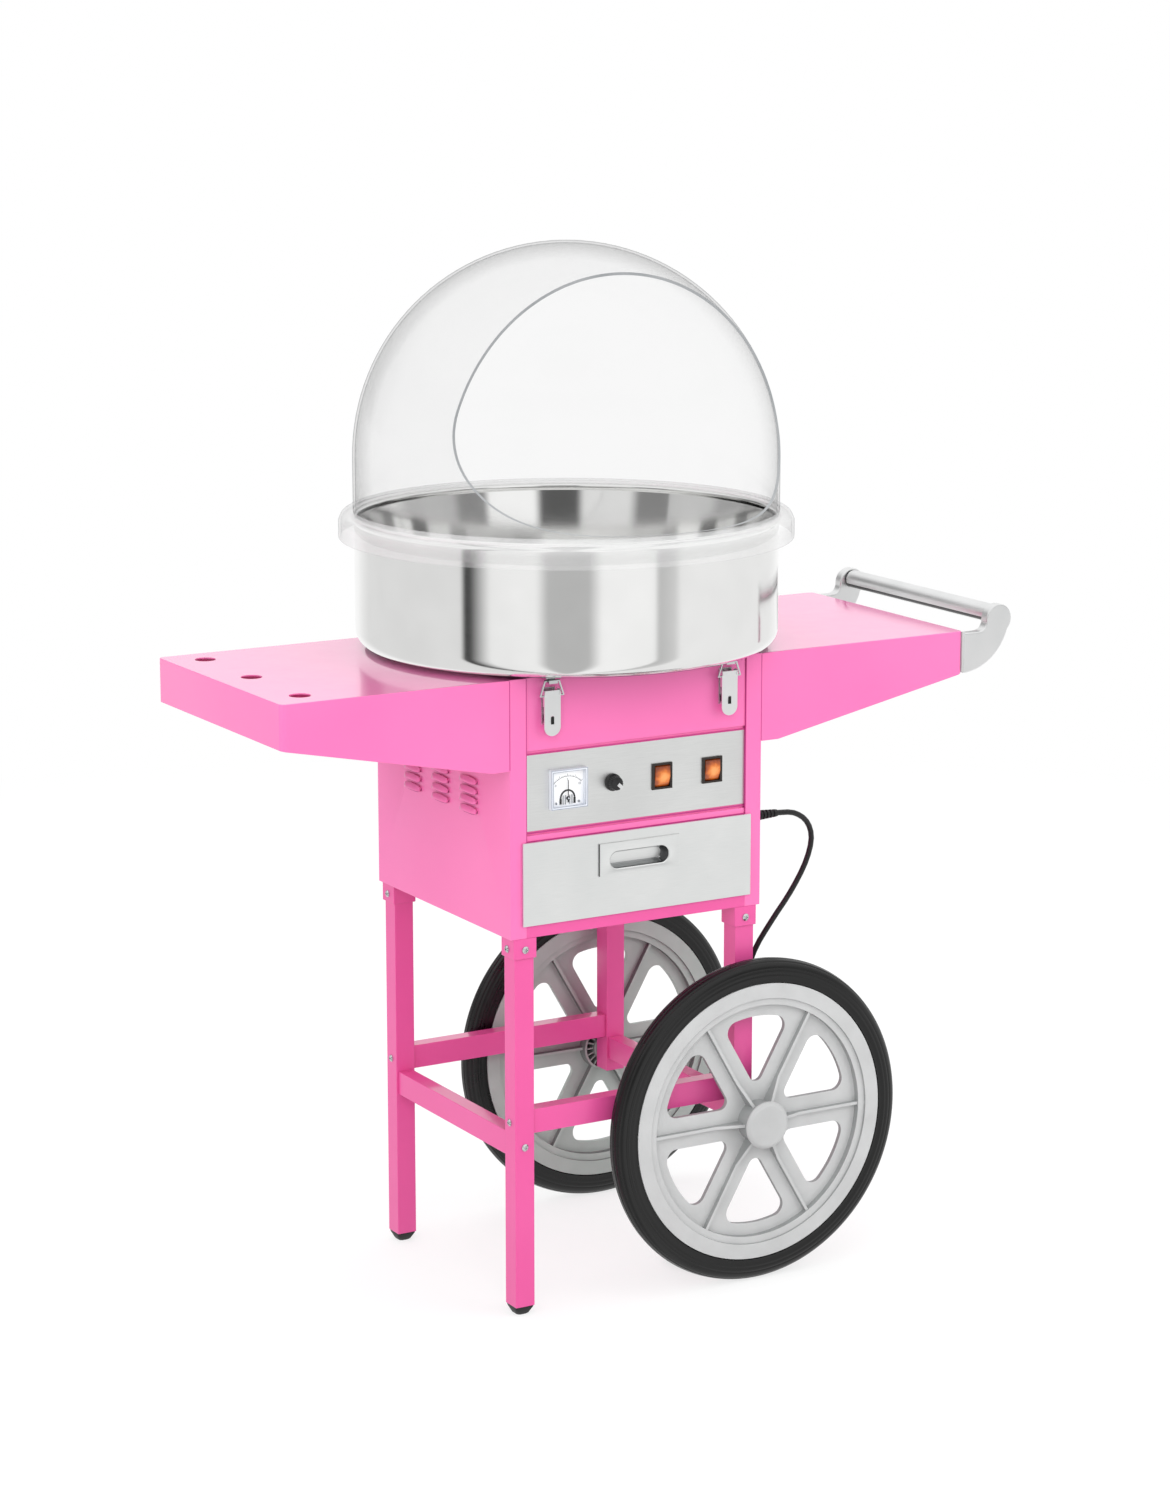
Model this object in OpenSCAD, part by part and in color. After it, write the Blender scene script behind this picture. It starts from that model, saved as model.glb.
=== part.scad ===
// Cotton candy cart: a spinning sugar head in a steel bowl under a clear dome, on a sheet metal
// cabinet with two shelves, a drawer, four legs and two wheels.
// X runs along the shelves towards the push handle, Y from the front to the rear, Z up.
// The origin lies on the ground, under the middle of the cart's bounding box.

/* [Cabinet] */
// Width of the cabinet across its side faces
cabinet_w = 350; // [330:1:400]
// Depth of the cabinet from its front to its rear face
cabinet_d = 342; // [336:1:380]
// Height of the cabinet's underside above the ground
cabinet_z = 473; // [440:1:560]
// Height of the cabinet from its underside to its deck
cabinet_h = 314; // [300:1:360]
// Thickness of the cabinet's sheet metal
sheet_t = 1.5; // [1:0.1:2]
// Width of each front post
post_w = 22; // [18:1:28]
// How far the front panel lies behind the posts
panel_recess = 1.5; // [1:0.5:3]
// Radius of the shaft hole in the deck
deck_hole_r = 30; // [20:1:40]
// Height of the rail below the drawer
sill_h = 15; // [10:1:20]
// Height of the rail between the drawer and the control plate
mid_rail_h = 12; // [8:1:20]

/* [Vents] */
// Width of one louvre
louvre_w = 39; // [25:1:50]
// Height of one louvre
louvre_h = 7.5; // [5:0.5:9]
// How far a louvre stands out
louvre_out = 3; // [2:0.5:5]
// Distance between louvre columns
louvre_pitch_w = 72; // [60:1:80]
// Distance between louvre rows
louvre_pitch_h = 12; // [10:0.5:15]
// Distance of the top louvre below the deck
louvre_drop = 132; // [125:1:150]
// Number of louvre columns
louvre_cols = 3; // [1:1:3]
// Number of louvre rows
louvre_rows = 4; // [2:1:5]

/* [Shelves] */
// Length of the left shelf
left_shelf_l = 295; // [240:1:400]
// Length of the right shelf
right_shelf_l = 300; // [240:1:400]
// Height of a shelf's outer edge
shelf_edge_h = 54; // [40:1:70]
// Height of a shelf's skirt at the cabinet
shelf_root_h = 109; // [90:1:120]
// Length of the level stretch of the skirt at the cabinet
shelf_root_l = 26; // [10:1:60]
// Radius of a shelf's outer corners
shelf_corner_r = 7; // [3:0.5:15]
// Radius of the stick holes
stick_hole_r = 13; // [8:0.5:18]
// Distance between the stick holes
stick_pitch = 130; // [80:1:145]
// Distance of the stick holes from the shelf's end
stick_inset = 44; // [25:1:70]

/* [Handle] */
// Distance of the handle bar from the shelf's end
handle_out = 55.5; // [50:0.5:70]
// Height of the handle bar above the shelf
handle_rise = 15.5; // [5:0.5:17]
// Drop of the arms' round ends below the middle of the bar
handle_tip_drop = 5; // [2:0.5:5]
// Height of the arm curve's centre above the shelf
handle_curve_rise = 18; // [14:1:24]
// Radius of an arm's upper end
handle_tip_r = 19; // [16:0.5:22]
// Thickness of a handle arm
arm_t = 14; // [12:0.5:20]
// Radius of the round inner corner of an arm
arm_notch_r = 12; // [8:0.5:14]
// Depth of an arm's level upper edge below the shelf top
arm_notch_drop = 3; // [1:0.5:6]
// Radius of the handle bar
bar_r = 12.5; // [10:0.5:15]
// Radius of the pins on the bar's ends
bar_pin_r = 8; // [5:0.5:9]
// Length of the pins on the bar's ends
bar_pin_l = 9; // [5:0.5:11]

/* [Control panel] */
// Height of the control plate
plate_h = 92.5; // [80:0.5:100]
// Thickness of the control plate
plate_t = 1.2; // [0.8:0.1:2]
// Depth of the channel that the control plate lies in
plate_recess = 2.5; // [2:0.1:4]
// Height of the channel's edge above and below the plate
plate_margin = 5; // [3:0.5:7]
// Distance of the meter from the middle of the plate
meter_x = 96.5; // [90:0.5:100]
// Distance of the knob from the middle of the plate
knob_x = 34; // [30:0.5:40]
// Distance of the first switch from the middle of the plate
switch_a_x = 35; // [28:0.5:40]
// Distance of the second switch from the middle of the plate
switch_b_x = 106; // [95:0.5:112]
// Height of the controls above the plate's lower edge
control_rise = 47.5; // [42:0.5:50]
// Width of the meter's case
meter_w = 50; // [46:0.5:56]
// Height of the meter's case
meter_h = 48; // [44:0.5:54]
// How far the meter stands out from the plate
meter_out = 7; // [6:0.5:9]
// Width of the meter case's rim
meter_rim = 2.5; // [1.5:0.1:3]
// Thickness of the meter's window
window_t = 1.2; // [0.8:0.1:1.5]
// Radius of the meter's rear can
meter_can_r = 19; // [15:0.5:20]
// Length of the meter's needle
needle_l = 22; // [16:0.5:23]
// Drop of the needle's pivot below the middle of the meter
needle_drop = 12; // [10:0.5:14]
// Radius of the knob
knob_r = 10.5; // [8:0.5:12]
// Length of the knob
knob_l = 16; // [12:0.5:20]
// Radius of the knob's spindle
spindle_r = 3; // [2.5:0.1:3.5]
// Radius of the regulator behind the plate
regulator_r = 15; // [12:0.5:18]
// Length of the regulator
regulator_l = 18; // [14:0.5:25]
// Width of a switch's bezel
switch_w = 28; // [26:0.5:32]
// Height of a switch's bezel
switch_h = 32; // [30:0.5:36]
// Width of the bezel's flange around the switch's body
switch_lip = 2; // [1:0.1:3]
// Wall of the switch's body
switch_wall = 1.3; // [1.2:0.1:1.8]
// Angle that a rocker leans at rest
rocker_lean = 9; // [6:0.5:10]

/* [Latches] */
// Distance of each latch from the middle of the cabinet
latch_x = 123; // [110:1:126]
// Drop of the lever's pivot below the deck
latch_drop = 19; // [18.5:0.1:20]
// Distance of the lever's pivot from the front panel
latch_out = 7.4; // [7.2:0.1:8]
// Width of the lever
lever_w = 22; // [20:0.5:24]
// Length of the lever below its pivot
lever_l = 51; // [40:1:60]
// Thickness of the latch's sheet
latch_t = 1.2; // [1:0.1:1.4]
// Distance of the bail's pin from the lever's pivot
bail_crank = 3.5; // [3:0.1:3.8]
// Radius of the bail's wire
wire_r = 1.25; // [1:0.05:1.4]
// Width of the bail between its wires at the lever
bail_w = 31; // [30:0.5:33]
// Width of the bail between its wires at the top
bail_top_w = 19; // [18:0.5:22]

/* [Bowl] */
// Outer radius of the bowl
bowl_r = 259; // [250:1:275]
// Depth of the bowl
bowl_h = 160.5; // [140:0.5:190]
// Wall thickness of the bowl
bowl_t = 1.2; // [1:0.1:2]
// Radius of the bowl's lower corner
bowl_corner_r = 30; // [24:1:40]
// Radius of the rolled rim
bead_r = 4; // [3:0.5:5]
// Radius of the hole in the bowl's floor
bowl_hole_r = 45; // [38:1:60]
// Height of the rubber pads under the bowl
pad_h = 3.5; // [3:0.5:6]
// Radius of the rubber pads
pad_r = 13; // [8:0.5:18]
// Distance of the pads from the middle in X and in Y
pad_place = 105; // [80:1:110]

/* [Spinning head] */
// Radius of the head
head_r = 88; // [70:1:92]
// Height of the head's floor above the bowl's underside
head_rise = 15.5; // [14:0.5:25]
// Height of the perforated band
band_h = 53; // [40:1:56]
// Thickness of the band
band_t = 1.2; // [0.8:0.1:2]
// Number of slots in the band
band_slots = 30; // [12:1:40]
// Radius of the sugar mouth
mouth_r = 42; // [25:1:50]
// Radius of the drive shaft
shaft_r = 5; // [4:0.5:7]
// Radius of the motor
motor_r = 48; // [40:1:60]
// Height of the motor
motor_h = 93; // [70:1:100]

/* [Dome] */
// How far the dome's wall stands out past the bowl's
dome_over = 1; // [0.5:0.5:3]
// Thickness of the dome
dome_t = 3; // [2:0.5:5]
// Height of the dome's straight wall
dome_wall_h = 68.7; // [50:0.1:90]
// Distance of the opening's plane from the dome's axis
opening_y = 121; // [90:1:160]
// Radius of the opening's lower curve
opening_curve_r = 140; // [80:1:150]
// Height of the sill below the opening
opening_sill = 7; // [6:0.5:25]
// How far the dome's flange reaches out from the wall
flange_out = 18; // [14:0.5:22]
// Height of the flange
flange_h = 35; // [28:1:50]
// Thickness of the flange
flange_t = 3; // [2:0.5:4]

/* [Drawer] */
// Height of the drawer's front
drawer_front_h = 101.4; // [90:0.1:110]
// Gap above the drawer's front
drawer_gap = 0.6; // [0.5:0.1:2]
// How far the front overlaps each post
drawer_overlap = 6.5; // [3:0.5:10]
// Thickness of the drawer's front
drawer_front_t = 3; // [2:0.5:5]
// Height of the tray
tray_h = 72; // [60:1:85]
// Depth of the tray from front to rear
tray_d = 290; // [200:1:310]
// Wall thickness of the tray
tray_t = 1.2; // [0.8:0.1:2]
// Width of the pull's plate
pull_w = 112; // [110:1:140]
// Height of the pull's plate
pull_h = 46; // [40:1:56]
// Distance of the pull's plate below the front's upper edge
pull_drop = 6.4; // [4:0.1:10]
// Thickness of the pull's plate
pull_t = 2; // [1.5:0.1:3]
// Length of the finger slot
slot_w = 82; // [60:1:90]
// Height of the finger slot
slot_h = 21; // [18:0.5:26]
// Drop of the slot below the middle of the pull's plate
slot_drop = 5; // [0:0.5:8]
// Depth of the finger pocket
pocket_d = 14; // [10:0.5:20]

/* [Frame] */
// Width of the square leg tube
leg_w = 26; // [24:0.5:30]
// Wall of the leg tube
tube_t = 1.5; // [1:0.1:1.6]
// Inset of the legs from the cabinet's side faces
leg_inset_x = 7; // [3:0.5:15]
// Inset of the legs from the cabinet's front and rear faces
leg_inset_y = 3; // [2.5:0.5:10]
// Height of the short legs' lower ends above the ground
short_leg_z = 182; // [170:1:190]
// Height of a rubber foot
foot_h = 11; // [8:0.5:15]
// Wall of the leg sockets
socket_t = 2.5; // [1.5:0.1:2.5]
// Height of the leg sockets
socket_h = 25; // [15:1:40]
// Height of the rail tube
rail_h = 30; // [26:1:34]
// Thickness of the rail tube
rail_w = 20; // [19:0.5:24]
// Radius of a screw head
screw_r = 4.5; // [3.5:0.1:5]
// Height of a screw head
screw_h = 3; // [2:0.1:4]

/* [Wheels] */
// Radius of the tyre
wheel_r = 205; // [195:1:215]
// Width of the tyre
tyre_w = 30; // [26:1:34]
// Radius of the wheel's rim under the tyre
rim_r = 176; // [170:1:180]
// Radius of the tyre's shoulders
shoulder_r = 10; // [5:0.5:12]
// Distance of the wheel's middle plane from the cabinet's front or rear face
wheel_out = 19; // [19:0.5:24]
// How far the axle lies to the right of the legs' middle
axle_shift = 3; // [0:0.5:3]
// Radius of the axle
axle_r = 5; // [4:0.5:5]
// Radius of the hub's outer barrel
hub_r = 26; // [22:1:29]
// Length of the hub's outer barrel from the middle plane
hub_out = 28; // [26:0.5:32]
// Radius of the hub cap
cap_r = 30; // [28:1:34]
// Thickness of the wheel's web
web_t = 6; // [4:0.5:8]
// Outer radius of the windows
window_r = 133; // [120:1:137]
// Half of a spoke's width
spoke_half_w = 20; // [16:0.5:24]
// Thickness of a spoke's rib
rib_t = 4; // [2:0.5:6]
// Number of spokes
spoke_count = 6; // [5:1:7]

/* [Cord] */
// Radius of the mains cord
cord_r = 3.5; // [3:0.1:4]
// Length of the strain relief
relief_l = 45; // [40:1:50]
// Distance of the strain relief from the cabinet's middle towards the front
relief_y = 140; // [120:1:145]
// Height of the strain relief above the cabinet's underside
relief_z = 104; // [100:0.5:106]
// Radius of the plug
plug_r = 17; // [14:0.5:19]
// Length of the plug's body
plug_l = 36; // [30:1:45]

/* [Hidden] */
$fn = 96;

// Gap between pieces that move past each other
run_gap = 0.3;
// Radial clearance of a shaft or pin that turns in its hole
fit_gap = 0.05;
// Overshoot of a cut past the face that it opens
cut = 1;

half_w = cabinet_w / 2;
half_d = cabinet_d / 2;
deck_z = cabinet_z + cabinet_h;
left_reach = half_w + left_shelf_l;
right_reach = half_w + right_shelf_l + handle_out + handle_tip_r;
cabinet_x = (left_reach - right_reach) / 2;
inner_half_w = half_w - sheet_t;
inner_half_d = half_d - sheet_t;
bay_half_w = half_w - post_w;

// Heights on the cabinet's front, from the ground
drawer_z = cabinet_z + sill_h;
panel_z = drawer_z + drawer_front_h + drawer_gap;
plate_z = panel_z + mid_rail_h;
plate_top = plate_z + plate_h;
control_z = plate_z + control_rise;

// Depths on the cabinet's front
panel_y = -half_d + panel_recess;
channel_y = panel_y + plate_recess;
plate_y = channel_y - plate_t;
panel_half_w = bay_half_w - 0.2;
panel_floor_d = 310;

bowl_z = deck_z + pad_h;
rim_z = bowl_z + bowl_h;
head_z = bowl_z + head_rise;
head_wall = 2;
head_floor_t = 3;
head_rim_h = 7;
band_z = head_z + head_floor_t;
cap_z = band_z + band_h;
mouth_h = 15;
dome_r = bowl_r + dome_over;
dome_z = rim_z + run_gap;
dome_centre_z = dome_z + dome_wall_h;
sill_z = rim_z + opening_sill;

leg_x = half_w - leg_inset_x - leg_w / 2;
leg_y = half_d - leg_inset_y - leg_w / 2;
axle_x = leg_x + axle_shift;
wheel_y = half_d + wheel_out;
axle_z = wheel_r;
cross_rail_z = axle_z - axle_r - tube_t - 0.5;
long_rail_z = cross_rail_z + rail_h;
washer_t = 2.7;
hub_in = wheel_y - leg_y - leg_w / 2 - washer_t - run_gap;
nut_h = 8;
nut_r = 9.8;
nut_bore_r = 11;
nut_seat = hub_out - 12;
pocket_ring_r = 31;
rib_foot = 35;

// Route of the mains cord from the strain relief to the coil, then from the coil to the plug
cord_route = [
    [180.3, -140, 577], [205, -139, 574], [227, -135, 560], [238, -130, 536], [232, -126, 504],
    [212, -123, 468], [186, -121, 434], [162, -119, 398], [148, -118, 355], [142, -118, 300],
    [141, -118, 245], [141, -118, 190], [142, -112, 136], [134, -92, 84], [127, -76, 48],
    [119, -70, 29], [109, -68, 16]
];
coil_centre = [98, -108];
coil_mean_r = 40;
coil_half_w = 10.5;
coil_h = 14;
tail_route = [[116, -154, 10.5], [128, -153, 11.6], [140, -149.6, 14.6], [151, -146.6, 16.7], [159.9, -146, 17]];
plug_place = [160, -146, 17];
plug_turn = 0;
cord_sides = 8;
cord_steps = 3;

pink = [0.97, 0.42, 0.7];
steel = [0.83, 0.83, 0.82];
black = [0.08, 0.08, 0.08];

module on_cabinet() {
    translate([cabinet_x, 0, 0]) children();
}

// Extrudes an outline drawn in Y and Z along X, centred on X
module along_x(l) {
    translate([-l / 2, 0, 0]) rotate([90, 0, 90]) linear_extrude(l) children();
}

// Extrudes an outline drawn in X and Z along Y, from y to y + l
module along_y(y, l) {
    translate([0, y + l, 0]) rotate([90, 0, 0]) linear_extrude(l) children();
}

// Louvres on a sheet whose outer face is at Y = 0 and faces -Y
module louvre_places() {
    for (c = [0:louvre_cols - 1], r = [0:louvre_rows - 1])
        translate([(c - (louvre_cols - 1) / 2) * louvre_pitch_w, 0, deck_z - louvre_drop - r * louvre_pitch_h])
            children();
}

module louvre_slots() {
    louvre_places()
        translate([-louvre_w / 2 + 1, -cut, -louvre_h]) cube([louvre_w - 2, sheet_t + 2 * cut, louvre_h * 0.55]);
}

module louvre_hoods() {
    louvre_places()
        along_x(louvre_w)
            polygon([
                [0, 0], [-louvre_out, -louvre_h * 0.75], [-louvre_out, -louvre_h],
                [-louvre_out + 1, -louvre_h], [0, -louvre_h * 0.4]
            ]);
}

// Side panel with its front post, drawn for the left side
module side_panel() {
    difference() {
        union() {
            translate([-half_w, -half_d, cabinet_z]) cube([sheet_t, cabinet_d, cabinet_h]);
            translate([-half_w, -half_d, cabinet_z]) cube([post_w, sheet_t, cabinet_h]);
            translate([-half_w, 0, 0]) rotate([0, 0, -90]) louvre_hoods();
        }
        translate([-half_w, 0, 0]) rotate([0, 0, -90]) louvre_slots();
    }
}

module left_side_panel() {
    color(pink) on_cabinet() side_panel();
}

module right_side_panel() {
    color(pink) on_cabinet() difference() {
        mirror([1, 0, 0]) side_panel();
        translate([half_w - sheet_t - cut, -relief_y, cabinet_z + relief_z])
            rotate([0, 90, 0]) cylinder(r = relief_neck_r, h = sheet_t + 2 * cut);
    }
}

module rear_panel() {
    color(pink) on_cabinet() difference() {
        union() {
            translate([-inner_half_w, inner_half_d, cabinet_z]) cube([2 * inner_half_w, sheet_t, cabinet_h]);
            translate([0, half_d, 0]) rotate([0, 0, 180]) louvre_hoods();
        }
        translate([0, half_d, 0]) rotate([0, 0, 180]) louvre_slots();
    }
}

module base_panel() {
    color(pink) on_cabinet() {
        translate([-inner_half_w, -inner_half_d, cabinet_z])
            cube([2 * inner_half_w, 2 * inner_half_d, sheet_t]);
        translate([-bay_half_w, -half_d, cabinet_z]) cube([2 * bay_half_w, sheet_t, sill_h]);
        translate([-bay_half_w, -half_d, cabinet_z]) cube([2 * bay_half_w, 2 * sheet_t, sheet_t]);
    }
}

module deck_panel() {
    color(pink) on_cabinet() difference() {
        union() {
            translate([-inner_half_w, panel_y + sheet_t, deck_z - sheet_t])
                cube([2 * inner_half_w, inner_half_d - panel_y - sheet_t, sheet_t]);
            for (side = [-1, 1])
                translate([side * (bay_half_w + inner_half_w) / 2, (panel_y + sheet_t - inner_half_d) / 2, deck_z - sheet_t / 2])
                    cube([inner_half_w - bay_half_w, panel_y + sheet_t + inner_half_d, sheet_t], center = true);
        }
        translate([0, 0, deck_z - sheet_t - cut]) cylinder(r = deck_hole_r, h = sheet_t + 2 * cut);
    }
}

// Openings for the controls, from the plate's front through the front panel
module control_openings() {
    depth = plate_t + sheet_t + 2 * cut;
    translate([0, plate_y - cut, control_z]) {
        translate([-meter_x, 0, 0]) rotate([-90, 0, 0]) cylinder(r = meter_can_r + 0.2, h = depth);
        translate([-knob_x, 0, 0]) rotate([-90, 0, 0]) cylinder(r = bush_r, h = depth);
        for (x = [switch_a_x, switch_b_x])
            translate([x - switch_w / 2 + switch_lip, 0, -switch_h / 2 + switch_lip])
                cube([switch_w - 2 * switch_lip, depth, switch_h - 2 * switch_lip]);
    }
}

// Pink front panel with the channel for the control plate and the floor that hides the drawer bay
module front_panel() {
    upper = plate_top + plate_margin;
    lower = plate_z - plate_margin;
    color(pink) on_cabinet() difference() {
        along_x(2 * panel_half_w)
            polygon([
                [panel_y, deck_z], [panel_y, upper], [channel_y, upper], [channel_y, lower],
                [panel_y, lower], [panel_y, panel_z], [panel_y + panel_floor_d, panel_z],
                [panel_y + panel_floor_d, panel_z + sheet_t], [panel_y + sheet_t, panel_z + sheet_t],
                [panel_y + sheet_t, lower - sheet_t], [channel_y + sheet_t, lower - sheet_t],
                [channel_y + sheet_t, upper + sheet_t], [panel_y + sheet_t, upper + sheet_t],
                [panel_y + sheet_t, deck_z]
            ]);
        control_openings();
    }
}

module control_plate() {
    color(steel) on_cabinet() difference() {
        translate([-panel_half_w + 0.5, plate_y, plate_z]) cube([2 * panel_half_w - 1, plate_t, plate_h]);
        control_openings();
    }
}

// Plan outline of a shelf with its outer end at X = -l, drawn smaller all round by inset
module shelf_plan(l, inset) {
    r = shelf_corner_r - inset;
    d = half_d - inset;
    translate([-l + shelf_corner_r, -d]) square([l - shelf_corner_r, 2 * d]);
    translate([-l + inset, -d + r]) square([shelf_corner_r, 2 * (d - r)]);
    for (side = [-1, 1])
        translate([-l + shelf_corner_r, side * (d - r)]) circle(r);
}

// Shelf folded from one sheet, its top level with the deck, reaching from X = 0 to X = -l
module shelf(l) {
    difference() {
        intersection() {
            translate([0, 0, deck_z - shelf_root_h]) linear_extrude(shelf_root_h) shelf_plan(l, 0);
            along_y(-half_d, cabinet_d)
                polygon([
                    [0, deck_z], [-l, deck_z], [-l, deck_z - shelf_edge_h],
                    [-shelf_root_l, deck_z - shelf_root_h], [0, deck_z - shelf_root_h]
                ]);
        }
        translate([0, 0, deck_z - shelf_root_h - cut]) linear_extrude(shelf_root_h - sheet_t + cut) {
            shelf_plan(l, sheet_t);
            translate([-cut, -half_d + sheet_t]) square([2 * cut, cabinet_d - 2 * sheet_t]);
        }
    }
}

module left_shelf() {
    color(pink) on_cabinet() translate([-half_w, 0, 0]) difference() {
        shelf(left_shelf_l);
        for (i = [-1:1])
            translate([-left_shelf_l + stick_inset, i * stick_pitch, deck_z - sheet_t - cut])
                cylinder(r = stick_hole_r, h = sheet_t + 2 * cut);
    }
}

module right_shelf() {
    color(pink) on_cabinet() translate([half_w, 0, 0]) mirror([1, 0, 0]) shelf(right_shelf_l);
}

// Side view of a handle arm, with the shelf's end at X = 0 and its top at Y = 0
module arm_outline() {
    curve_r = shelf_edge_h + handle_curve_rise;
    notch_x = handle_out - handle_tip_r - arm_notch_r;
    tip_rise = handle_rise - handle_tip_drop;
    difference() {
        intersection() {
            translate([0, handle_curve_rise]) circle(curve_r);
            translate([0, -shelf_edge_h]) square([curve_r, shelf_edge_h + tip_rise]);
        }
        translate([-cut, -arm_notch_drop]) square([notch_x + cut, curve_r]);
        translate([notch_x, arm_notch_r - arm_notch_drop]) circle(arm_notch_r);
        translate([-cut, arm_notch_r - arm_notch_drop]) square([notch_x + arm_notch_r + cut, curve_r]);
    }
    translate([handle_out, tip_rise]) circle(handle_tip_r);
}

module handle_arms() {
    color(steel) on_cabinet() translate([half_w + right_shelf_l, 0, deck_z]) difference() {
        for (y = [-half_d, half_d - arm_t])
            along_y(y, arm_t) arm_outline();
        translate([handle_out, -half_d + arm_t - bar_pin_l, handle_rise])
            rotate([-90, 0, 0]) cylinder(r = bar_pin_r, h = cabinet_d - 2 * (arm_t - bar_pin_l));
    }
}

module handle_bar() {
    bar_l = cabinet_d - 2 * arm_t;
    color(steel) on_cabinet() translate([half_w + right_shelf_l + handle_out, 0, deck_z + handle_rise])
        rotate([90, 0, 0]) {
            cylinder(r = bar_r, h = bar_l, center = true);
            cylinder(r = bar_pin_r, h = bar_l + 2 * bar_pin_l, center = true);
        }
}

module at_meter() {
    on_cabinet() translate([-meter_x, plate_y, control_z]) children();
}

needle_pin_r = 1;
needle_shoulder_r = 1.8;
needle_y = -meter_out / 2;
meter_floor = meter_out - window_t - 4.5;

// Meter case, with its rear can behind the plate and the needle's pin in front of its dial
module meter_case() {
    color("white") at_meter() {
        difference() {
            translate([-meter_w / 2, -meter_out, -meter_h / 2]) cube([meter_w, meter_out, meter_h]);
            translate([-meter_w / 2 + meter_rim, -meter_out - cut, -meter_h / 2 + meter_rim])
                cube([meter_w - 2 * meter_rim, meter_out - meter_floor + cut, meter_h - 2 * meter_rim]);
        }
        rotate([-90, 0, 0]) cylinder(r = meter_can_r, h = 24);
        translate([0, 0, -needle_drop]) rotate([90, 0, 0]) {
            cylinder(r = needle_pin_r, h = meter_out - window_t - 0.5);
            cylinder(r = needle_shoulder_r, h = -needle_y - 0.6 - run_gap);
        }
    }
}

module meter_window() {
    color([0.9, 0.95, 1, 0.4]) at_meter()
        translate([-meter_w / 2 + meter_rim, -meter_out, -meter_h / 2 + meter_rim])
            cube([meter_w - 2 * meter_rim, window_t, meter_h - 2 * meter_rim]);
}

module meter_needle() {
    color("black") at_meter() translate([0, needle_y, -needle_drop]) difference() {
        union() {
            rotate([90, 0, 0]) cylinder(r = 2.4, h = 1.2, center = true);
            translate([-0.4, -0.3, 0]) cube([0.8, 0.6, needle_l]);
            translate([-0.9, -0.3, -5]) cube([1.8, 0.6, 5]);
        }
        rotate([90, 0, 0]) cylinder(r = needle_pin_r + fit_gap, h = 1.2 + 2 * cut, center = true);
    }
}

module at_knob() {
    on_cabinet() translate([-knob_x, plate_y, control_z]) children();
}

bush_r = spindle_r + 1.7;
regulator_y = plate_t + sheet_t;

module regulator_body() {
    color("dimgray") at_knob() rotate([-90, 0, 0]) difference() {
        union() {
            translate([0, 0, regulator_y]) cylinder(r = regulator_r, h = regulator_l);
            cylinder(r = bush_r, h = regulator_y + 1);
        }
        translate([0, 0, -cut]) cylinder(r = spindle_r + fit_gap, h = regulator_y + 12 + cut);
    }
}

// Knob moulded on its spindle, with a raised pointer on its face
module control_knob() {
    color(black) at_knob() rotate([90, 0, 0]) {
        translate([0, 0, run_gap]) cylinder(r = knob_r, h = knob_l * 0.4);
        translate([0, 0, run_gap]) cylinder(r = knob_r - 1.5, h = knob_l);
        translate([-1.2, 0, run_gap + knob_l - cut]) cube([2.4, knob_r - 2, cut + 0.8]);
        translate([0, 0, -regulator_y - 11]) cylinder(r = spindle_r, h = regulator_y + 12);
    }
}

rocker_w = switch_w - 2 * switch_lip - 2 * switch_wall - 2 * run_gap;
rocker_r = switch_h / 2 - switch_lip - 0.5 - run_gap;
rocker_pin_r = 1.5;
rocker_y = 3;
bezel_t = 2;

module at_switch(x) {
    on_cabinet() translate([x, plate_y, control_z]) children();
}

// Rocker switch body with its bezel on the plate's front
module switch_housing() {
    body_w = switch_w - 2 * switch_lip;
    body_h = switch_h - 2 * switch_lip;
    difference() {
        union() {
            translate([-switch_w / 2, -bezel_t, -switch_h / 2]) cube([switch_w, bezel_t, switch_h]);
            translate([-body_w / 2, 0, -body_h / 2]) cube([body_w, 22, body_h]);
        }
        translate([-rocker_w / 2 - run_gap, -bezel_t - cut, -rocker_r - run_gap])
            cube([rocker_w + 2 * run_gap, bezel_t + cut + 10, 2 * (rocker_r + run_gap)]);
        translate([0, rocker_y, 0]) rotate([0, 90, 0])
            cylinder(r = rocker_pin_r + fit_gap, h = rocker_w + 2 * run_gap + 2 * 0.9, center = true);
    }
}

module switch_housings() {
    color(black) for (x = [switch_a_x, switch_b_x])
        at_switch(x) switch_housing();
}

// Rocker with a shallow V face, leaning on its pins
module rocker() {
    translate([0, rocker_y, 0]) rotate([rocker_lean, 0, 0]) {
        along_x(rocker_w) intersection() {
            circle(rocker_r);
            polygon([[4, -rocker_r], [4, rocker_r], [-4, rocker_r], [-6.6, 0], [-4, -rocker_r]]);
        }
        rotate([0, 90, 0]) cylinder(r = rocker_pin_r, h = rocker_w + 2 * run_gap + 2 * 0.6, center = true);
    }
}

module heat_rocker() {
    color("orange") at_switch(switch_a_x) rocker();
}

module motor_rocker() {
    color("orange") at_switch(switch_b_x) rocker();
}

latch_z = deck_z - latch_drop;
latch_y = panel_y - latch_out;
latch_pin_r = 1.5;
ear_x = lever_w / 2 - latch_t - 2 * run_gap - latch_t;
lever_plate_y = 4;
ear_r = lever_plate_y - latch_t - run_gap;
// Height of the ears' webs above the pivot, low enough for the opened lever
ear_web_rise = 1.2;
base_h = 44;
base_drop = 38;
bail_pin_y = -bail_crank * sin(45);
bail_pin_z = -bail_crank * cos(45);
// Height of the bail's top wire, which leaves it room to rise under the bowl
bail_top = latch_drop - 4;

module at_latch(side) {
    on_cabinet() translate([side * latch_x, latch_y, latch_z]) children();
}

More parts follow.
